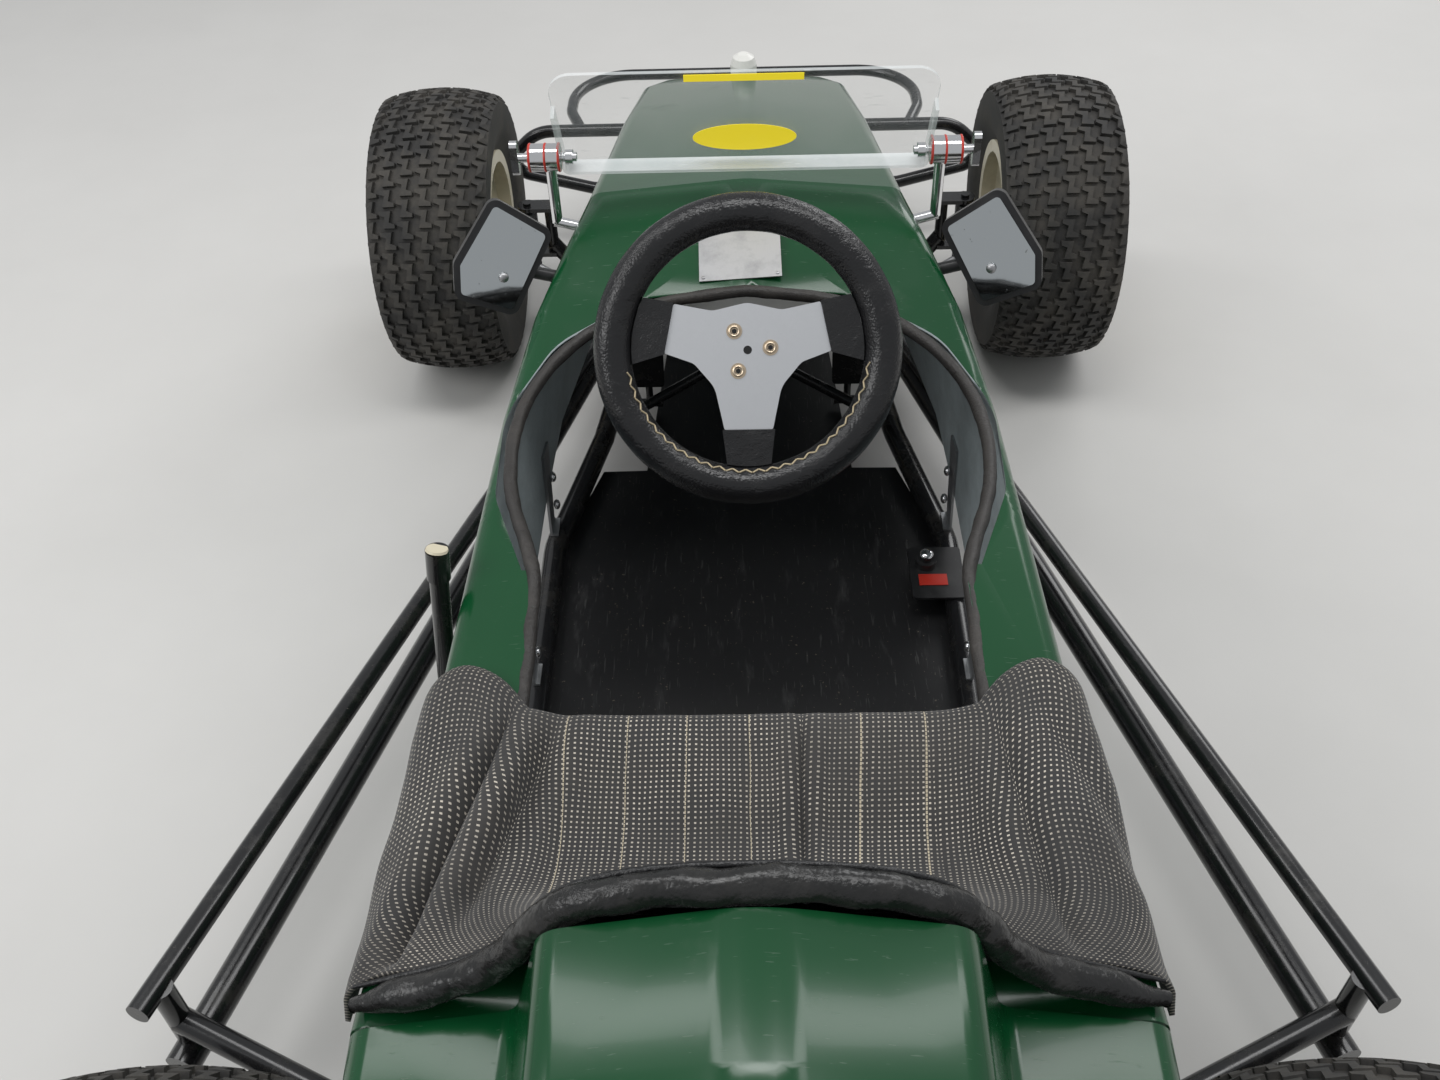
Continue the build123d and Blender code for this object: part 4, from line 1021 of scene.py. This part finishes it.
class KART_OT_stage(bpy.types.Operator):
    """Sets the floor, the lights and the camera"""

    bl_idname = "kart.stage"
    bl_label = "Floor, lights and camera"

    def execute(self, context):
        scene = context.scene
        bm = bmesh.new()
        bmesh.ops.create_grid(bm, x_segments=1, y_segments=1, size=12.0)
        mesh = bpy.data.meshes.new("floor")
        bm.to_mesh(mesh)
        bm.free()
        floor = bpy.data.objects.new("floor", mesh)
        scene.collection.objects.link(floor)
        mesh.materials.append(finishes["pale_floor"])

        world = bpy.data.worlds.new("studio")
        world.use_nodes = True
        sky = world.node_tree.nodes["Background"].inputs
        sky["Color"].default_value = (0.78, 0.80, 0.82, 1)
        sky["Strength"].default_value = 0.55
        scene.world = world
        for name, place, size, power in (
            ("left_ceiling_light", (-0.75, 0.3, 3.1), (0.55, 4.4), 31.0),
            ("right_ceiling_light", (0.95, 0.3, 3.1), (0.55, 4.4), 31.0),
            ("left_light", (-2.6, -1.2, 2.4), (1.6, 1.6), 30.0),
            ("front_light", (1.8, 3.0, 2.2), (1.6, 1.6), 26.0),
        ):
            lamp = bpy.data.lights.new(name, "AREA")
            lamp.shape = "RECTANGLE"
            lamp.size, lamp.size_y = size
            lamp.energy = power
            made = bpy.data.objects.new(name, lamp)
            made.location = place
            aim = Vector((0, 0, 0.2)) - Vector(place)
            made.rotation_euler = aim.to_track_quat("-Z", "Y").to_euler()
            scene.collection.objects.link(made)

        # The photograph is 1440 pixels wide and was fitted with a focal length of 1400 pixels
        lens = bpy.data.cameras.new("photo_camera")
        lens.sensor_width = 36.0
        lens.lens = lens.sensor_width * 1400 / 1440
        lens.clip_start = 0.01
        camera = bpy.data.objects.new("photo_camera", lens)
        camera.location = (0.0, -1.137, 1.340)
        camera.rotation_euler = [math.radians(a) for a in (45.0, 1.47, 0.29)]
        scene.collection.objects.link(camera)
        scene.camera = camera
        scene.view_settings.view_transform = "Standard"
        return {"FINISHED"}


OPERATORS = (
    KART_OT_tyres,
    KART_OT_rims,
    KART_OT_steering_wheel,
    KART_OT_bodywork,
    KART_OT_screen,
    KART_OT_seat,
    KART_OT_chassis,
    KART_OT_stage,
)


class KART_PT_panel(bpy.types.Panel):
    """Lists the kart's pieces and settings"""

    bl_label = "Racing kart"
    bl_idname = "KART_PT_panel"
    bl_space_type = "VIEW_3D"
    bl_region_type = "UI"
    bl_category = "Kart"

    def draw(self, context):
        looks = context.scene.kart_looks
        for name in ("paint", "block_height", "stitch_pitch", "cushion_swell"):
            self.layout.prop(looks, name)
        for operator in OPERATORS:
            self.layout.operator(operator.bl_idname)


def register():
    for kind in (KartLooks, *OPERATORS, KART_PT_panel):
        bpy.utils.register_class(kind)
    bpy.types.Scene.kart_looks = bpy.props.PointerProperty(type=KartLooks)


def unregister():
    del bpy.types.Scene.kart_looks
    for kind in (KART_PT_panel, *reversed(OPERATORS), KartLooks):
        bpy.utils.unregister_class(kind)


def make_finishes(looks):
    """Makes every material once, by its plain name."""
    black, rubbed = (0.010, 0.010, 0.011), (0.030, 0.029, 0.029)
    cover_black, cover_rubbed = (0.011, 0.011, 0.012), (0.030, 0.030, 0.030)
    trim_black, trim_rubbed = (0.028, 0.025, 0.023), (0.085, 0.075, 0.065)
    roll_black, roll_rubbed = (0.014, 0.014, 0.014), (0.055, 0.052, 0.048)
    finishes.update({
        "green": moulded_green(tuple(looks.paint)),
        "enamel": black_enamel(),
        "floor": scratched_floor(),
        "rubber": dusty_rubber(),
        "cream": cream_enamel(),
        "wheel_leather": grained_leather("wheel_leather", black, rubbed, 420.0, 0.27),
        "cover_leather": grained_leather("cover_leather", cover_black, cover_rubbed, 620.0, 0.36),
        "trim_leather": grained_leather("trim_leather", trim_black, trim_rubbed, 520.0, 0.55),
        "roll_leather": grained_leather("roll_leather", roll_black, roll_rubbed, 260.0, 0.3),
        "cloth": dotted_cloth(),
        "steel": metal("zinc_steel", (0.42, 0.42, 0.43), 0.3, 0.2, (1, 1, 1), 0.5),
        "chrome": metal("bright_chrome", (0.82, 0.82, 0.83), 0.05, 0.06, (1, 1, 1), 0.15),
        "brass": metal("tan_brass", (0.68, 0.56, 0.42), 0.28, 0.15, (1, 1, 1), 0.3),
        "spoke_plate": metal("satin_spoke", (0.74, 0.75, 0.77), 0.38, 0.14, (9, 1, 1), 0.15),
        "plate_metal": metal("plain_plate", (0.46, 0.46, 0.47), 0.48, 0.15, (6, 1, 1), 0.35),
        "dull_metal": metal("dull_alloy", (0.42, 0.43, 0.44), 0.42, 0.2, (1, 4, 1), 0.5),
        "black_plastic": satin_plastic("black_plastic", (0.016, 0.016, 0.017), 0.32),
        "white": satin_plastic("white_plastic", (0.82, 0.81, 0.77), 0.25),
        # The yellow film glows a little: painted light standing in for light shining through it
        "yellow": satin_plastic("yellow_film", (0.95, 0.76, 0.03), 0.4, 0.4),
        "red": satin_plastic("red_plastic", (0.55, 0.03, 0.015), 0.35),
        # Flat near-black for the holes in the spokes: painted shade
        "dark": satin_plastic("painted_recess_shade", (0.006, 0.006, 0.006), 0.6),
        "thread": satin_plastic("cream_thread", (0.52, 0.43, 0.28), 0.8),
        "acrylic": clear_acrylic(),
        "mirror": mirror_silver(),
        "glassfibre": bare_glassfibre(),
        "pale_floor": concrete(),
    })


def main():
    register()
    make_finishes(bpy.context.scene.kart_looks)
    bpy.ops.kart.tyres()
    bpy.ops.kart.rims()
    bpy.ops.kart.steering_wheel()
    bpy.ops.kart.bodywork()
    bpy.ops.kart.screen()
    bpy.ops.kart.seat()
    bpy.ops.kart.chassis()
    bpy.ops.kart.stage()


if __name__ == "__main__":
    main()
